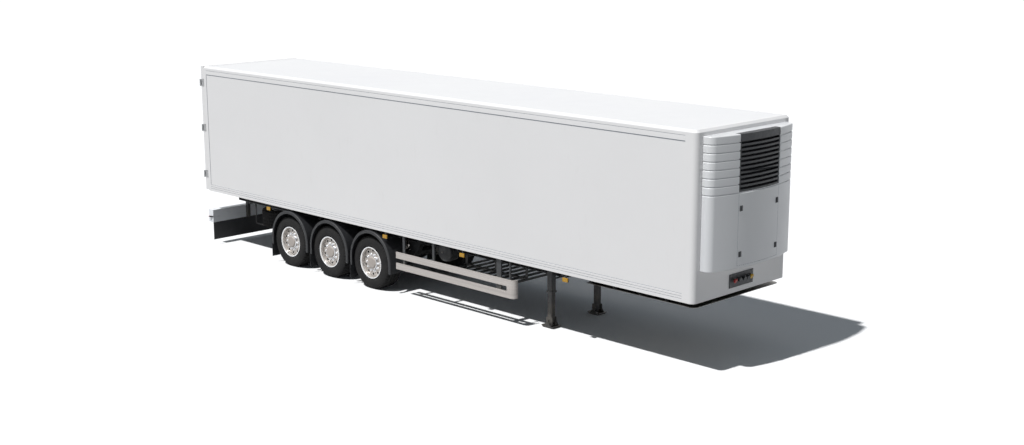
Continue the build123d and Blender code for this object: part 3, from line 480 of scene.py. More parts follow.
lit_lens = lens("lit_lens", (236, 236, 234), (246, 246, 244), 50)
lit_shader = lit_lens.node_tree.nodes["Principled BSDF"]
lit_shader.inputs["Emission Color"].default_value = LAMP_GLOW
lit_shader.inputs["Emission Strength"].default_value = LAMP_STRENGTH

# Making pieces


def mark_edges(bm):
    for face in bm.faces:
        face.smooth = True
    for edge in bm.edges:
        edge.smooth = len(edge.link_faces) == 2 and edge.calc_face_angle(0) < SHARP


def piece_from(bm, name, body, slot, material=None):
    bmesh.ops.recalc_face_normals(bm, faces=bm.faces)
    mark_edges(bm)
    mesh = bpy.data.meshes.new(name)
    bm.to_mesh(mesh)
    bm.free()
    mesh.materials.append(material or finishes[slot])
    piece = bpy.data.objects.new(name, mesh)
    bpy.context.scene.collection.objects.link(piece)
    even = piece.modifiers.new("even_shading", "WEIGHTED_NORMAL")
    even.keep_sharp = True
    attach(piece, body)
    return piece


HARD = radians(28)
FLAT = radians(0.6)
SAME_PLACE = 0.00002


def eased(node, width):
    # The node's own shape with its hard edges rounded off.
    bm = bmesh.new()
    bm.from_mesh(frame["nodes"][node].data)
    bmesh.ops.remove_doubles(bm, verts=bm.verts, dist=SAME_PLACE)
    bmesh.ops.dissolve_limit(bm, angle_limit=FLAT, verts=bm.verts, edges=bm.edges)
    hard = [e for e in bm.edges if len(e.link_faces) == 2 and e.calc_face_angle(0) > HARD]
    bmesh.ops.bevel(
        bm,
        geom=hard,
        offset=width,
        offset_type="OFFSET",
        affect="EDGES",
        segments=2,
        profile=0.5,
        material=-1,
        clamp_overlap=True,
        loop_slide=True,
    )
    # The roof's darker white is painted shade.
    own = roof_painted_shade if node == "roof" else None
    piece = piece_from(bm, f"{node}_eased", body_of[node], slot_of[node], own)
    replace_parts(piece, node)


def around(place, half):
    return (place - half, place + half)


def mirrored(side, span):
    return (side * span[0], side * span[1])


def on_ring(radius, angle):
    return Vector((radius * cos(angle), radius * sin(angle), 0))


def edges_of(verts):
    # Each edge once, and in the same order at each run.
    return list(dict.fromkeys(e for v in verts for e in v.link_edges))


def block(bm, x, y, z, edge=0.0, segments=2):
    # A box over the spans x, y and z, its edges rounded.
    start = Vector([min(span) for span in (x, y, z)])
    end = Vector([max(span) for span in (x, y, z)])
    made = bmesh.ops.create_cube(bm, size=1)["verts"]
    bmesh.ops.scale(bm, verts=made, vec=end - start)
    bmesh.ops.translate(bm, verts=made, vec=(start + end) / 2)
    if edge:
        bmesh.ops.bevel(
            bm, geom=edges_of(made), offset=edge, affect="EDGES",
            segments=segments, profile=0.5, material=-1,
        )


def turn_to(direction):
    return Vector((0, 0, 1)).rotation_difference(direction).to_matrix().to_4x4()


def wheel_space(centre, outward):
    # From a wheel's own space, whose Z points out of the wheel, to its place.
    return Matrix.Translation(centre) @ turn_to(outward)


def turned(bm, outline, steps, place=None):
    # Spins a closed outline of (radius, height) round Z, and puts what it made in its place.
    before = set(bm.verts)
    verts = [bm.verts.new((radius, 0, height)) for radius, height in outline]
    edges = [bm.edges.new(pair) for pair in zip(verts, verts[1:] + verts[:1])]
    bmesh.ops.spin(
        bm,
        geom=verts + edges,
        cent=(0, 0, 0),
        axis=(0, 0, 1),
        angle=tau,
        steps=steps,
        use_merge=True,
        use_duplicate=False,
    )
    if place is not None:
        made = [v for v in bm.verts if v not in before]
        bmesh.ops.transform(bm, matrix=place, verts=made)


def rod(bm, start, end, radius, sides):
    start, end = Vector(start), Vector(end)
    along = end - start
    made = bmesh.ops.create_cone(
        bm, cap_ends=True, segments=sides, radius1=radius, radius2=radius, depth=along.length
    )["verts"]
    place = Matrix.Translation((start + end) / 2) @ turn_to(along.normalized())
    bmesh.ops.transform(bm, matrix=place, verts=made)


def hose(bm, path, radius):
    for start, end in zip(path, path[1:]):
        rod(bm, start, end, radius, 10)


# Tyres and rims

TYRE = 0.525
TREAD_HALF = 0.168
TYRE_HALF = 0.1925
TREAD_STEPS = 150
BEAD = 0.303
GROOVES = (0.102, 0.036)
GROOVE_DEPTH = 0.012
GROOVE_HALF_WIDE = 0.0065
GROOVE_FOOT = GROOVE_HALF_WIDE * 0.6
# One side of the tyre, from the bead to the tread, as (radius, height)
TYRE_SIDE = [
    (BEAD, 0.156), (0.318, 0.1625), (0.326, 0.1655), (0.334, 0.176), (0.338, 0.1762),
    (0.342, 0.181), (0.375, 0.1895), (0.405, TYRE_HALF), (0.412, TYRE_HALF - 0.0025),
    (0.432, TYRE_HALF - 0.001), (0.438, TYRE_HALF - 0.004), (0.470, 0.186), (0.476, 0.1815),
    (0.494, 0.1775), (0.507, 0.1725), (0.518, TREAD_HALF - 0.002), (0.5235, TREAD_HALF - 0.010),
]
# The shoulder is notched past this radius and between these widths, and the ribs inside it
# are cut by sipes. Both come back every few steps.
SHOULDER_RADIUS = 0.5
SHOULDER_SPAN = (0.108, 0.1765)
RIB_RADIUS = 0.5235
RIB_HALF = 0.1
TREAD_PITCH = 3
NOTCH_INSET, NOTCH_DEPTH = 0.004, 0.007
SIPE_INSET, SIPE_DEPTH = 0.008, 0.004


def tyre_outline():
    # From the inner bead over the tread to the outer bead.
    half = list(TYRE_SIDE)
    for centre in GROOVES:
        half += [
            (TYRE, centre + GROOVE_HALF_WIDE),
            (TYRE - GROOVE_DEPTH, centre + GROOVE_FOOT),
            (TYRE - GROOVE_DEPTH, centre - GROOVE_FOOT),
            (TYRE, centre - GROOVE_HALF_WIDE),
        ]
    return half + [(r, -z) for r, z in reversed(half)] + [(BEAD, -0.05), (BEAD, 0.05)]


def wheel_place(node):
    # A road wheel faces out of its side, and the spare wheel lies on its face.
    centre = middle(node)
    outward = (0, 0, -1) if node.startswith("spare") else (0, 1 if centre.y > 0 else -1, 0)
    return wheel_space(centre, Vector(outward))


def tyre(node, name):
    bm = bmesh.new()
    turned(bm, tyre_outline(), TREAD_STEPS)
    # Shoulder blocks and sipes across the ribs
    notches, sipes = [], []
    for face in bm.faces:
        spot = face.calc_center_median()
        radius, across = spot.xy.length, abs(spot.z)
        turn = Vector((1, 0)).angle_signed(spot.xy, 0) % tau
        step = round(turn / tau * TREAD_STEPS - 0.5) % TREAD_STEPS % TREAD_PITCH
        shoulder = SHOULDER_SPAN[0] < across < SHOULDER_SPAN[1]
        if radius > SHOULDER_RADIUS and shoulder and step == 0:
            notches.append(face)
        elif radius > RIB_RADIUS and across < RIB_HALF and step == 1:
            sipes.append(face)
    bmesh.ops.inset_region(
        bm, faces=notches, thickness=NOTCH_INSET, depth=-NOTCH_DEPTH, use_even_offset=True
    )
    bmesh.ops.inset_individual(bm, faces=sipes, thickness=SIPE_INSET, depth=-SIPE_DEPTH)
    bmesh.ops.transform(bm, matrix=wheel_place(node), verts=bm.verts)
    piece = piece_from(bm, name, body_of[node], "tyre_rubber")
    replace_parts(piece, node)


RIM_EDGE = 0.3155
RIM_HALF = 0.1725
BARREL = [
    (0.296, RIM_HALF - 0.001), (RIM_EDGE - 0.004, RIM_HALF), (RIM_EDGE, RIM_HALF - 0.004),
    (RIM_EDGE, RIM_HALF - 0.0095), (0.302, RIM_HALF - 0.0102), (0.3, RIM_HALF - 0.03),
    (0.2985, 0.02), (0.29, 0), (0.29, -0.05), (0.2985, -0.075), (0.3, -RIM_HALF + 0.03),
    (0.302, -RIM_HALF + 0.0102), (RIM_EDGE, -RIM_HALF + 0.0095), (RIM_EDGE, -RIM_HALF + 0.004),
    (RIM_EDGE - 0.004, -RIM_HALF), (0.296, -RIM_HALF + 0.001), (0.290, -RIM_HALF + 0.012),
    (0.288, -0.08), (0.279, -0.052), (0.279, 0.0), (0.288, 0.024), (0.2885, 0.062),
    (0.284, 0.082), (0.2845, 0.1), (0.2865, RIM_HALF - 0.022), (0.290, RIM_HALF - 0.009),
]
LIP = [
    (0.3, RIM_HALF - 0.002), (0.308, RIM_HALF + 0.0008), (0.3152, RIM_HALF + 0.0004),
    (0.3152, RIM_HALF - 0.003), (0.3, RIM_HALF - 0.004),
]
# The rolled edge that joins the disc to the barrel
DISC_EDGE = [(0.2845, 0.098), (0.2735, 0.1085), (0.266, 0.1092), (0.266, 0.095), (0.2845, 0.088)]
DISC_OUTER = 0.276
DISC_INNER = 0.132
SPARE_DISC_INNER = 0.1
DISC_FACE = 0.108
DISC_THICK = 0.012
HOLES = 10
HOLE_RING = 0.236
HOLE = 0.027
HOLE_STEPS = 20
HOLE_LIP = [
    (HOLE - 0.0005, 0.0005), (HOLE + 0.0035, 0.0025), (HOLE + 0.0065, 0.0005),
    (HOLE + 0.0035, -0.002),
]
HOLE_CENTRES = [on_ring(HOLE_RING, tau * (i + 0.5) / HOLES) for i in range(HOLES)]
HUB_COVER = [
    (0.001, 0.160), (0.094, 0.160), (0.104, 0.158), (0.110, 0.153), (0.114, 0.146),
    (0.128, 0.142), (0.122, 0.125), (0.001, 0.12),
]
COVER_BAND = [
    (0.1235, 0.138), (0.129, 0.1425), (0.1345, 0.139), (0.1385, 0.13), (0.139, 0.105),
    (0.12, 0.104),
]
NUTS = 10
NUT_RING = 0.1675
# Collar, nut and stud over the disc's face: where each starts and ends, radius, sides
NUT_PARTS = ((-0.002, 0.005, 0.0225, 20), (0.004, 0.026, 0.0165, 6), (0.025, 0.034, 0.011, 12))
TYRE_VALVE = Vector((0.262, 0.03, DISC_FACE + 0.01))
TYRE_VALVE_REACH = Vector((-0.012, 0, 0.045))
TYRE_VALVE_RADIUS = 0.004


def ring_edges(bm, radius, steps, centre=Vector((0, 0, 0))):
    made = bmesh.ops.create_circle(bm, cap_ends=False, segments=steps, radius=radius)["verts"]
    bmesh.ops.translate(bm, verts=made, vec=(centre.x, centre.y, DISC_FACE))
    return edges_of(made)


def raise_faces(bm, faces, rise):
    lifted = bmesh.ops.extrude_face_region(bm, geom=faces)["geom"]
    raised = [v for v in lifted if isinstance(v, bmesh.types.BMVert)]
    bmesh.ops.translate(bm, verts=raised, vec=(0, 0, rise))


def rim_disc(bm, inner):
    # The dished disc with its hand holes, filled between rings and given its thickness.
    edges = ring_edges(bm, DISC_OUTER, 80) + ring_edges(bm, inner, 48)
    for centre in HOLE_CENTRES:
        edges += ring_edges(bm, HOLE, HOLE_STEPS, centre)
    filled = bmesh.ops.triangle_fill(bm, use_beauty=True, edges=edges, normal=(0, 0, 1))["geom"]
    faces = [f for f in filled if isinstance(f, bmesh.types.BMFace)]
    raise_faces(bm, faces, -DISC_THICK)


def rim(node, name, slot, with_hub):
    place = wheel_place(node)

    def placed(bm, part, material=None):
        bmesh.ops.transform(bm, matrix=place, verts=bm.verts)
        return piece_from(bm, f"{name}_{part}", body_of[node], slot, material)

    bm = bmesh.new()
    turned(bm, BARREL, 96)
    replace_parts(placed(bm, "barrel"), node)
    bm = bmesh.new()
    turned(bm, LIP, 96)
    placed(bm, "lip", nut_finish if with_hub else None)
    bm = bmesh.new()
    rim_disc(bm, DISC_INNER if with_hub else SPARE_DISC_INNER)
    turned(bm, DISC_EDGE, 80)
    placed(bm, "disc", satin_painted_shade if with_hub else None)
    bm = bmesh.new()
    for centre in HOLE_CENTRES:
        spot = Matrix.Translation((centre.x, centre.y, DISC_FACE))
        turned(bm, HOLE_LIP, HOLE_STEPS, spot)
    placed(bm, "hole_lips")
    if not with_hub:
        return
    bm = bmesh.new()
    turned(bm, HUB_COVER, 64)
    placed(bm, "hub_cover", cover_finish)
    bm = bmesh.new()
    turned(bm, COVER_BAND, 64)
    for i in range(NUTS):
        spot = on_ring(NUT_RING, tau * i / NUTS) + Vector((0, 0, DISC_FACE))
        for start, end, radius, sides in NUT_PARTS:
            rod(bm, spot + Vector((0, 0, start)), spot + Vector((0, 0, end)), radius, sides)
    rod(bm, TYRE_VALVE, TYRE_VALVE + TYRE_VALVE_REACH, TYRE_VALVE_RADIUS, 10)
    placed(bm, "nuts", nut_finish)


for axle in AXLES:
    for side in SIDES:
        tyre(f"tyre_{axle}_{side}", f"tyre_tread_{axle}_{side}")
        rim(f"rim_{axle}_{side}", f"wheel_rim_{axle}_{side}", "polished_rim", True)
tyre("spare_tyre", "spare_tyre_tread")
rim("spare_rim", "spare_wheel_rim", "silver_rim", False)

# The other solids, with their edges rounded by each width

EASE = {
    0.003: (
        "side_wall_left", "side_wall_right", "body_rails", "rear_frame", "front_wall", "roof",
        "door_left", "door_right", "rear_bumper", "side_guard_left", "side_guard_right",
        "main_beams", "neck_beams", "pallet_rack", "leg_tubes", "leg_left", "leg_right",
        "hangers", "trailing_arms", "brake_units",
        "cross_members", "unit_grille", "coupling_panel", "skid_plate", "bumper_posts", "leg_gear",
        "guard_posts_left", "guard_posts_right", "spray_flap", "mudguards_left", "mudguards_right",
        "spare_cradle", "mudguard_stays",
    ),
    0.0012: ("hinge_brackets", "door_fittings_left", "door_fittings_right"),
    0.008: ("unit_housing",),
}
for width, nodes in EASE.items():
    for node in nodes:
        eased(node, width)

# Seals of the body, and fine lines of painted shade along its rails

REAR = -6.8375
BODY_SIDE = 1.25
BODY_BOTTOM = 1.2399
PANEL_FACE = BODY_SIDE - 0.006
INNER_WALL = 1.19
FLOOR_TOP = high("load_floor").z
CEILING = low("roof").z
# Under the top rail, a seal darkened as painted shadow of the rail's edge, and over the bottom
# rail, a seal darkened as painted shade: height, half its width, how far it stands out
RAIL_SEALS_AND_SHADE = ((3.8145, 0.005, 0.0045), (1.3825, 0.0022, 0.003))
RAIL_GROOVES = (3.904, 1.3, 1.34)
GROOVE_HALF = 0.0018
SEAL_EDGE = 0.001
POST_SEAL_AHEAD = 0.004
POST_SEAL_HALF = 0.0025
POST_SEAL_SPAN = (1.385, 3.809)


def seals_and_shade_lines():
    # Dark sealing strips where the side panels meet the rails and the rear frame, and dark strips
    # in the rail grooves; along the rails and in the grooves their dark tone is painted shade.
    start, end = low("side_wall_right").x, high("side_wall_right").x
    strips = bmesh.new()
    for side in SIDES.values():
        for z, half, proud in RAIL_SEALS_AND_SHADE:
            depth = mirrored(side, (PANEL_FACE - 0.002, PANEL_FACE + proud))
            block(strips, (start, end), depth, around(z, half), SEAL_EDGE, 1)
        depth = mirrored(side, (BODY_SIDE - 0.005, BODY_SIDE - 0.0012))
        # Dark strips in the rail grooves: painted shade in their hollows.
        for z in RAIL_GROOVES:
            block(strips, (start, end), depth, around(z, GROOVE_HALF))
        depth = mirrored(side, (PANEL_FACE - 0.002, PANEL_FACE + 0.003))
        post = around(start + POST_SEAL_AHEAD, POST_SEAL_HALF)
        block(strips, post, depth, POST_SEAL_SPAN, SEAL_EDGE, 1)
    piece_from(strips, "seals_and_shade_lines", "root", "black_rubber", seal_and_shade)


seals_and_shade_lines()

# Lamps

SIDE_LAMPS = (2.197, 6.008, 8.186, 10.761)
SIDE_LAMP_LOW = 1.11
SIDE_LAMP_HIGH = SIDE_LAMP_LOW + 0.07
SIDE_LAMP_HALF = 0.0625
SIDE_LAMP_FACE = (1.226, BODY_SIDE)
HOLDER_HALF = 0.06
HOLDER_FACE = (1.215, 1.2265)
STRAP_FACE = (1.215, 1.225)
STRAP_HALF = 0.018
# Each segment of a rear lamp, from the inside out
CLEAR_SEGMENT = (0.722, 0.802)
RED_SEGMENTS = ((0.808, 0.922), (0.928, 1.032))
AMBER_SEGMENT = (1.038, 1.138)
REAR_LAMP_SPAN = (0.715, 1.145)
REAR_LAMP_HEIGHT = (0.58, 0.72)
SEGMENT_HEIGHT = (0.588, 0.712)
MARKER_SPAN = (1.216, 1.249)
MARKER_HEIGHT = (0.625, 0.655)
ARM_LOW = 0.628
ARM_THICK = 0.024


def side_lamps():
    lenses, holders = bmesh.new(), bmesh.new()
    for place in SIDE_LAMPS:
        x = REAR + place
        for side in SIDES.values():
            block(
                lenses, around(x, SIDE_LAMP_HALF), mirrored(side, SIDE_LAMP_FACE),
                (SIDE_LAMP_LOW, SIDE_LAMP_HIGH), 0.006, 3,
            )
            block(
                holders, around(x, HOLDER_HALF), mirrored(side, HOLDER_FACE),
                (SIDE_LAMP_LOW + 0.003, SIDE_LAMP_HIGH - 0.003), 0.002,
            )
            block(
                holders, around(x, STRAP_HALF), mirrored(side, STRAP_FACE),
                (SIDE_LAMP_HIGH - 0.02, BODY_BOTTOM), 0.002,
            )
            block(
                holders, around(x, STRAP_HALF), mirrored(side, (INNER_WALL, STRAP_FACE[1])),
                (BODY_BOTTOM - 0.006, BODY_BOTTOM), 0.002,
            )
    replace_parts(piece_from(lenses, "side_lamp_lenses", "root", "amber_lens"), "side_lamps")
    piece_from(holders, "side_lamp_holders", "root", "dark_chassis")


def marker_arm(bm, side):
    # The rubber arm that carries a marker lamp past the end of the bumper.
    front = high("rear_bumper").x
    outline = [
        (front, 1.2), (front - 0.035, 1.2), (REAR - 0.095, 1.222),
        (REAR - 0.095, BODY_SIDE - 0.006), (REAR - 0.065, BODY_SIDE - 0.001),
    ]
    face = bm.faces.new([bm.verts.new((x, side * y, ARM_LOW)) for x, y in outline])
    raise_faces(bm, [face], ARM_THICK)


def rear_lamps():
    back = low("rear_bumper").x
    depth = (low("rear_lamps").x, back - 0.003)
    red, amber, clear, housing = (bmesh.new() for _ in range(4))
    segments = [(clear, CLEAR_SEGMENT), (amber, AMBER_SEGMENT)]
    segments += [(red, span) for span in RED_SEGMENTS]
    marker_ends = ((red, (REAR - 0.1, REAR - 0.088)), (clear, (REAR - 0.088, REAR - 0.076)))
    for side in SIDES.values():
        block(
            housing, (back - 0.006, back + 0.001), mirrored(side, REAR_LAMP_SPAN),
            REAR_LAMP_HEIGHT, 0.003,
        )
        for bm, span in segments:
            block(bm, depth, mirrored(side, span), SEGMENT_HEIGHT, 0.0025, 3)
        marker_arm(housing, side)
        for bm, ends in marker_ends:
            block(bm, ends, mirrored(side, MARKER_SPAN), MARKER_HEIGHT, 0.004, 3)
    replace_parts(piece_from(red, "rear_lamp_red", "root", "red_lens"), "rear_lamps")
    piece_from(amber, "rear_lamp_amber", "root", "amber_lens")
    piece_from(clear, "rear_lamp_clear", "root", "red_lens", clear_lens)
    piece_from(housing, "rear_lamp_housing", "root", "black_rubber")


side_lamps()
rear_lamps()

# Running gear

BEAM = 0.45
AXLE_HEIGHT = 0.525
AXLE_RADIUS = 0.0635
ARM_OVER_AXLE = 0.0523
ARM_TOP = AXLE_HEIGHT + AXLE_RADIUS + ARM_OVER_AXLE
AXLE_PLACES = [middle(f"tyre_{axle}_left").x for axle in AXLES]

SPRING_BEHIND = 0.36
SPRING_FOOT = 0.6
SPRING_OUTLINE = [
    (0.001, 0), (0.085, 0), (0.098, 0.006), (0.1, 0.02), (0.1, 0.075), (0.096, 0.092),
    (0.112, 0.094), (0.13, 0.108), (0.1435, 0.132), (0.1448, 0.158), (0.138, 0.184),
    (0.1235, 0.2), (0.1235, 0.212), (0.138, 0.226), (0.1448, 0.25), (0.1435, 0.274),
    (0.13, 0.3), (0.112, 0.312), (0.1175, 0.314), (0.1175, 0.3299), (0.001, 0.3299),
]
GIRDLE_OUTLINE = [(0.122, 0.2), (0.1275, 0.206), (0.122, 0.212), (0.116, 0.206)]
SPRING_BOLT_RING = 0.075


def bellows():
    rubber, metal = bmesh.new(), bmesh.new()
    for x in AXLE_PLACES:
        for side in SIDES.values():
            foot = Matrix.Translation((x - SPRING_BEHIND, side * BEAM, SPRING_FOOT))
            turned(rubber, SPRING_OUTLINE, 40, foot)
            turned(metal, GIRDLE_OUTLINE, 40, foot)
            for turn in range(4):
                spot = foot @ on_ring(SPRING_BOLT_RING, tau * turn / 4)
                rod(metal, spot - Vector((0, 0, 0.068)), spot - Vector((0, 0, 0.051)), 0.011, 6)
    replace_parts(piece_from(rubber, "bellows", "root", "spring_rubber"), "air_springs")
    piece_from(metal, "bellows_rings", "root", "bare_steel")


PAD_HALF = 0.062
PAD_LOW = (0.443, 0.4612)
PAD_HIGH = (ARM_TOP, ARM_TOP + 0.014)
PAD_BOLTS = ((-0.08, -0.051), (-0.08, 0.051), (0.08, -0.051), (0.08, 0.051))
PAD_BOLT = 0.0095
PAD_NUT = 0.0165


def axle_clamps():
    # Pads above and below each axle, drawn together by four bolts.
    pads, bolts = bmesh.new(), bmesh.new()
    for x in AXLE_PLACES:
        for side in SIDES.values():
            y = side * BEAM
            block(pads, around(x, 0.105), around(y, PAD_HALF), PAD_HIGH, 0.003)
            block(pads, around(x, 0.098), around(y, PAD_HALF), PAD_LOW, 0.004)
            for dx, dy in PAD_BOLTS:
                for start, end, radius, sides in (
                    (0.43, ARM_TOP + 0.046, PAD_BOLT, 14),
                    (ARM_TOP + 0.014, ARM_TOP + 0.034, PAD_NUT, 6),
                    (0.424, 0.443, PAD_NUT, 6),
                ):
                    rod(bolts, (x + dx, y + dy, start), (x + dx, y + dy, end), radius, sides)
    piece_from(pads, "axle_pads", "root", "dark_chassis")
    piece_from(bolts, "axle_bolts", "root", "bare_steel")


CHAMBER_Y = 0.715
CHAMBER_Z = 0.615
CHAMBER_SKIN = 0.0795
# Each clamp band's place along the chamber, and its radius
CHAMBER_BANDS = ((0.19, 0.0855), (0.262, 0.0845))
BAND_BOLT_Z = 0.708
# Each hose's place along the chamber, and the height of its bend
CHAMBER_HOSES = ((0.15, 0.8), (0.23, 0.86))


def brake_chamber_bands():
    bands, hoses = bmesh.new(), bmesh.new()
    for x in AXLE_PLACES:
        for side in SIDES.values():
            y = side * CHAMBER_Y
            for along, radius in CHAMBER_BANDS:
                outline = [
                    (CHAMBER_SKIN, -0.008), (radius, -0.006), (radius + 0.0015, 0),
                    (radius, 0.006), (CHAMBER_SKIN, 0.008),
                ]
                at = x + along
                spot = wheel_space(Vector((at, y, CHAMBER_Z)), Vector((1, 0, 0)))
                turned(bands, outline, 36, spot)
                rod(bands, (at, y - 0.02, BAND_BOLT_Z), (at, y + 0.02, BAND_BOLT_Z), 0.006, 10)
                block(bands, around(at, 0.007), (y - 0.014, y - 0.006), (0.695, 0.716), 0.001, 1)
            # Two air hoses from the chamber up to the beam
            for along, bend in CHAMBER_HOSES:
                at = x + along
                hose(
                    hoses,
                    [
                        (at, y, 0.69), (at, y - side * 0.03, 0.76), (at, y - side * 0.12, bend),
                        (at, side * (BEAM + 0.012), bend + 0.16),
                    ],
                    0.0085,
                )
    piece_from(bands, "chamber_bands", "root", "bare_steel")
    piece_from(hoses, "brake_hoses", "root", "black_rubber")


DRUM_INNER = 0.535
DRUM_DOME = [
    (0.001, 0), (0.05, 0.002), (0.095, 0.009), (0.13, 0.02), (0.158, 0.034), (0.176, 0.05),
    (0.1845, 0.068),
]
DRUM_STRAPS = ((0.1, 0.13), (0.235, 0.265))
STRAP_INSIDE, STRAP_OUTSIDE = 0.184, 0.1868


def air_drums():
    centre, outer = middle("air_tanks"), high("air_tanks").y
    length = outer - DRUM_INNER
    outline = DRUM_DOME + [(radius, length - rise) for radius, rise in reversed(DRUM_DOME)]
    drums, straps = bmesh.new(), bmesh.new()
    for side in SIDES.values():
        place = wheel_space(Vector((centre.x, side * DRUM_INNER, centre.z)), Vector((0, side, 0)))
        turned(drums, outline, 56, place)
        for start, end in DRUM_STRAPS:
            strap = [
                (STRAP_INSIDE, start), (STRAP_OUTSIDE, start),
                (STRAP_OUTSIDE, end), (STRAP_INSIDE, end),
            ]
            turned(straps, strap, 56, place)
        bracket = mirrored(side, (BEAM + 0.005, DRUM_INNER + 0.05))
        block(drums, around(centre.x, 0.06), bracket, around(centre.z, 0.035), 0.004)
        # The drain below and the plug in the outer end
        drain = (centre.x, side * 0.72, centre.z - 0.182)
        rod(straps, drain, (*drain[:2], centre.z - 0.203), 0.011, 6)
        rod(
            straps, (centre.x, side * (outer - 0.003), centre.z),
            (centre.x, side * (outer + 0.014), centre.z), 0.018, 6,
        )
    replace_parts(piece_from(drums, "air_drums", "root", "dark_chassis"), "air_tanks")
    piece_from(straps, "drum_straps", "root", "bare_steel")


VALVE_BEHIND = 0.5
# Half the bar's length, its height and its radius
VALVE_BAR = (0.445, 0.99, 0.022)
VALVE_STRAPS = (-0.11, 0.11)
VALVE_PORTS = (-0.15, -0.05, 0.05, 0.15)
PORT_HEIGHT = 0.78


def brake_valve():
    # The valve block behind the rear axle, hung from a bar between the beams, with its hoses.
    x = AXLE_PLACES[0] - VALVE_BEHIND
    reach, height, radius = VALVE_BAR
    body, hoses = bmesh.new(), bmesh.new()
    rod(body, (x, -reach, height), (x, reach, height), radius, 16)
    for y in VALVE_STRAPS:
        block(body, around(x, 0.03), around(y, 0.004), (0.86, 1.005), 0.001, 1)
    block(body, around(x, 0.15), around(0, 0.2), (0.7, 0.87), 0.012, 3)
    block(body, around(x, 0.1), around(0, 0.13), (0.63, 0.71), 0.012, 3)
    for y in VALVE_PORTS:
        rod(body, (x + 0.14, y, PORT_HEIGHT), (x + 0.175, y, PORT_HEIGHT), 0.02, 6)
        hose(
            hoses,
            [
                (x + 0.17, y, PORT_HEIGHT), (x + 0.26, y * 1.2, 0.8),
                (x + 0.32, y * 2.2, 0.93), (x + 0.5, y * 2.75, 1.02),
            ],
            0.009,
        )
    piece_from(body, "brake_valve", "root", "dark_chassis")
    piece_from(hoses, "valve_hoses", "root", "black_rubber")


# The heights of the pipes along each beam
PIPE_RUNS = {1: (0.97, 0.995, 1.02), -1: (0.98, 1.01)}
PIPE_START, PIPE_END = -5.0, 2.6
PIPE_SIDE = 0.432
CLIPS = 16
CLIP_FIRST, CLIP_PITCH = -4.9, 0.49


def chassis_lines():
    # Air pipes and the cable loom, clipped inside the beams from the front to the axles.
    pipes, clips = bmesh.new(), bmesh.new()
    for side, runs in PIPE_RUNS.items():
        y = side * PIPE_SIDE
        for z in runs:
            rod(pipes, (PIPE_START, y, z), (PIPE_END, y, z), 0.0085, 10)
        for i in range(CLIPS):
            x = CLIP_FIRST + CLIP_PITCH * i
            clip = mirrored(side, (0.4195, 0.446))
            height = (runs[0] - 0.014, runs[-1] + 0.014)
            block(clips, around(x, 0.01), clip, height, 0.001, 1)
    piece_from(pipes, "air_pipes", "root", "black_rubber")
    piece_from(clips, "pipe_clips", "root", "black_plastic")


bellows()
axle_clamps()
brake_chamber_bands()
air_drums()
brake_valve()
chassis_lines()

# Doors: gaskets and hinge bolts

DOOR_BACK = low("door_left").x
DOOR_INNER = high("door_left").x
DOOR_SPAN = (0.003, 1.245)
GASKET_INSET = 0.012
GASKET_WIDE = 0.028
HINGE_HEIGHTS = (1.608, 2.638, 3.632)
HINGE_BOLTS = (1.085, 1.14, 1.195)


def door_details(name, side):
    body = body_of[f"door_{name}"]
    bottom, top = low(f"door_{name}").z + GASKET_INSET, high(f"door_{name}").z - GASKET_INSET
    inner, outer = DOOR_SPAN[0] + GASKET_INSET, DOOR_SPAN[1] - GASKET_INSET
    gasket, bolts = bmesh.new(), bmesh.new()
    depth = (DOOR_INNER - 0.002, DOOR_INNER + 0.0045)
    for span, height in (
        ((inner, outer), (bottom, bottom + GASKET_WIDE)),
        ((inner, outer), (top - GASKET_WIDE, top)),
        ((inner, inner + GASKET_WIDE), (bottom, top)),
        ((outer - GASKET_WIDE, outer), (bottom, top)),
    ):
        block(gasket, depth, mirrored(side, span), height, 0.0018)
    leaf = DOOR_BACK - 0.0055
    for z in HINGE_HEIGHTS:
        for y in HINGE_BOLTS:
            for proud, radius, sides in ((0.005, 0.0095, 6), (0.002, 0.0125, 18)):
                rod(bolts, (leaf, side * y, z), (leaf - proud, side * y, z), radius, sides)
    piece_from(gasket, f"door_gasket_{name}", body, "black_rubber")
    piece_from(bolts, f"hinge_bolts_{name}", body, "galvanised")


for name, side in SIDES.items():
    door_details(name, side)

# Inside the load space

HOLD_FRONT = 6.5625
RIBS = 47
RIB_FIRST, RIB_PITCH, RIB_WIDE_HALF = -1.15, 0.05, 0.008
SCUFF_HEIGHT = 0.26
LASHING_HEIGHTS = (2.05, 2.75)
LASHING_WIDE = 0.09
STUDS = 66
STUD_FIRST, STUD_PITCH = 0.12, 0.2
HOLD_LAMPS = (-5.6, -2.6, 0.4, 3.4)
OUTLET_HALF = 0.72
OUTLET_HEIGHT = (3.36, 3.88)
OUTLET_SLATS = 9
SLAT_FIRST, SLAT_PITCH = 3.42, 0.047
SLAT_HALF, SLAT_WIDE = 0.64, 0.026


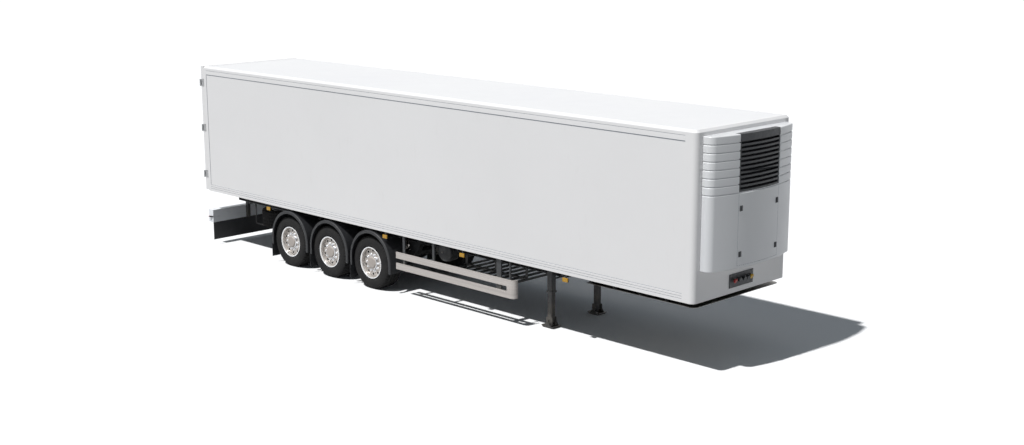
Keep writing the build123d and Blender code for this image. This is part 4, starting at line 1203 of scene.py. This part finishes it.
def load_space():
    ribs, scuffs, lamps, duct, bars, slats = (bmesh.new() for _ in range(6))
    start = high("rear_frame").x
    long = (start, HOLD_FRONT - 0.01)
    for i in range(RIBS):
        y = RIB_FIRST + RIB_PITCH * i
        block(ribs, long, around(y, RIB_WIDE_HALF), (FLOOR_TOP - 0.001, FLOOR_TOP + 0.006))
    for side in SIDES.values():
        plate = mirrored(side, (INNER_WALL - 0.004, INNER_WALL + 0.001))
        block(scuffs, long, plate, (FLOOR_TOP + 0.001, FLOOR_TOP + SCUFF_HEIGHT), 0.0015, 1)
        for z in LASHING_HEIGHTS:
            rail = mirrored(side, (INNER_WALL - 0.012, INNER_WALL + 0.001))
            block(bars, long, rail, (z, z + LASHING_WIDE), 0.003, 1)
            stud = mirrored(side, (INNER_WALL - 0.0135, INNER_WALL - 0.011))
            for i in range(STUDS):
                x = start + STUD_FIRST + STUD_PITCH * i
                block(bars, around(x, 0.03), stud, (z + 0.03, z + 0.06))
    for x in HOLD_LAMPS:
        block(lamps, around(x, 0.2), around(0, 0.06), (CEILING - 0.022, CEILING + 0.001), 0.008, 3)
    depth = (HOLD_FRONT - 0.16, HOLD_FRONT + 0.001)
    block(duct, depth, around(0, OUTLET_HALF), OUTLET_HEIGHT, 0.03, 4)
    depth = (HOLD_FRONT - 0.172, HOLD_FRONT - 0.155)
    for i in range(OUTLET_SLATS):
        z = SLAT_FIRST + SLAT_PITCH * i
        block(slats, depth, around(0, SLAT_HALF), (z, z + SLAT_WIDE), 0.003, 1)
    piece_from(ribs, "floor_ribs", "root", "grey_floor")
    piece_from(scuffs, "scuff_plates", "root", "guard_rail")
    piece_from(bars, "lashing_rails", "root", "guard_rail")
    piece_from(lamps, "load_space_lamps", "root", "white_panel", lit_lens)
    piece_from(duct, "air_outlet", "root", "white_housing")
    piece_from(slats, "air_outlet_slats", "root", "black_plastic")


load_space()

# The cooling unit's lower door: its seams and latches

UNIT_DOOR_HALF = 0.535
UNIT_DOOR_SPAN = (1.8, 2.955)
UNIT_DOOR_MIDDLE = 2.4
SEAM_HALF = 0.0025
SEAM_STEPS = 24
LATCH_PLACES = ((0.478, 1.98), (0.478, 2.72))


def unit_door():
    housing = bmesh.new()
    housing.from_mesh(frame["nodes"]["unit_housing"].data)
    skin = BVHTree.FromBMesh(housing)
    housing.free()

    def face_at(y, z):
        return skin.ray_cast(Vector((9, y, z)), Vector((-1, 0, 0)))[0].x

    bottom = UNIT_DOOR_SPAN[0]
    seams, latches = bmesh.new(), bmesh.new()
    for y in (UNIT_DOOR_HALF, -UNIT_DOOR_HALF):
        x = face_at(y, UNIT_DOOR_MIDDLE)
        block(seams, (x - 0.002, x + 0.0002), around(y, SEAM_HALF), UNIT_DOOR_SPAN)
    # The lower seam follows the bow in short steps
    for i in range(SEAM_STEPS):
        start = UNIT_DOOR_HALF * (2 * i / SEAM_STEPS - 1)
        end = UNIT_DOOR_HALF * (2 * (i + 1) / SEAM_STEPS - 1)
        x = face_at((start + end) / 2, UNIT_DOOR_MIDDLE)
        block(seams, (x - 0.002, x + 0.0002), (start, end), around(bottom, SEAM_HALF))
    for side in SIDES.values():
        for place, z in LATCH_PLACES:
            y = side * place
            x = face_at(y, z)
            block(latches, (x - 0.003, x + 0.009), around(y, 0.034), around(z, 0.045), 0.005, 3)
            block(latches, (x + 0.006, x + 0.0165), around(y, 0.012), around(z, 0.034), 0.004, 3)
    piece_from(seams, "unit_door_seams", "root", "black_rubber", seal_and_shade)
    piece_from(latches, "unit_door_latches", "root", "black_plastic")


unit_door()

# Landing legs: the bolts high on their tubes and in their shoes

LEG_BOLT_HEIGHTS = (1.09, 1.15, 1.205)
LEG_BOLTS = (-0.035, 0.035)
LEG_FACE = 0.6702
SHOE_BOLT_Y = 0.615
SHOE_BOLTS = (-0.045, 0.045)


def leg_bolts():
    bolts = bmesh.new()
    for name, side in SIDES.items():
        x = middle(f"leg_{name}").x
        near, far = mirrored(side, (LEG_FACE, LEG_FACE + 0.011))
        for z in LEG_BOLT_HEIGHTS:
            for dx in LEG_BOLTS:
                rod(bolts, (x + dx, near, z), (x + dx, far, z), 0.0105, 6)
        y = side * SHOE_BOLT_Y
        for dx in SHOE_BOLTS:
            rod(bolts, (x + dx, y, 0.052), (x + dx, y, 0.064), 0.009, 6)
    piece_from(bolts, "leg_bolts", "root", "bare_steel")


leg_bolts()

# Couplings for air and current on the front wall

COUPLING_HEIGHT = 1.47
SOCKET_PLACES = (-0.09, 0.03, 0.13)
PANEL_BOLTS = ((-0.29, 1.355), (-0.29, 1.535), (0.29, 1.355), (0.29, 1.535))


def couplings():
    front = high("coupling_panel").x
    black, metal, supply, brake = (bmesh.new() for _ in range(4))
    z = COUPLING_HEIGHT
    for y, cap in ((-0.22, supply), (0.22, brake)):
        rod(metal, (front - 0.001, y, z), (front + 0.035, y, z), 0.024, 24)
        rod(metal, (front + 0.03, y, z), (front + 0.045, y, 1.44), 0.02, 20)
        rod(cap, (front + 0.034, y, 1.456), (front + 0.056, y, 1.446), 0.036, 32)
        block(cap, (front + 0.03, front + 0.05), (y - 0.012, y + 0.05), (1.462, 1.482), 0.004)
    for y in SOCKET_PLACES:
        rod(black, (front - 0.001, y, 1.455), (front + 0.05, y, 1.445), 0.034, 28)
        rod(black, (front + 0.046, y, 1.4465), (front + 0.058, y, 1.444), 0.038, 28)
        block(black, (front + 0.03, front + 0.055), around(y, 0.014), (1.478, 1.5), 0.004)
    for y, z in PANEL_BOLTS:
        rod(metal, (front - 0.001, y, z), (front + 0.005, y, z), 0.009, 6)
    piece_from(black, "current_sockets", "root", "black_plastic")
    piece_from(metal, "coupling_metal", "root", "bare_steel")
    piece_from(supply, "supply_cap", "root", "black_plastic", red_cap)
    piece_from(brake, "brake_cap", "root", "black_plastic", yellow_cap)


couplings()

# Every solid that still shows gets its finish

for node, thing in frame["nodes"].items():
    if not thing.hide_render:
        thing.data.materials.clear()
        thing.data.materials.append(finishes[slot_of[node]])
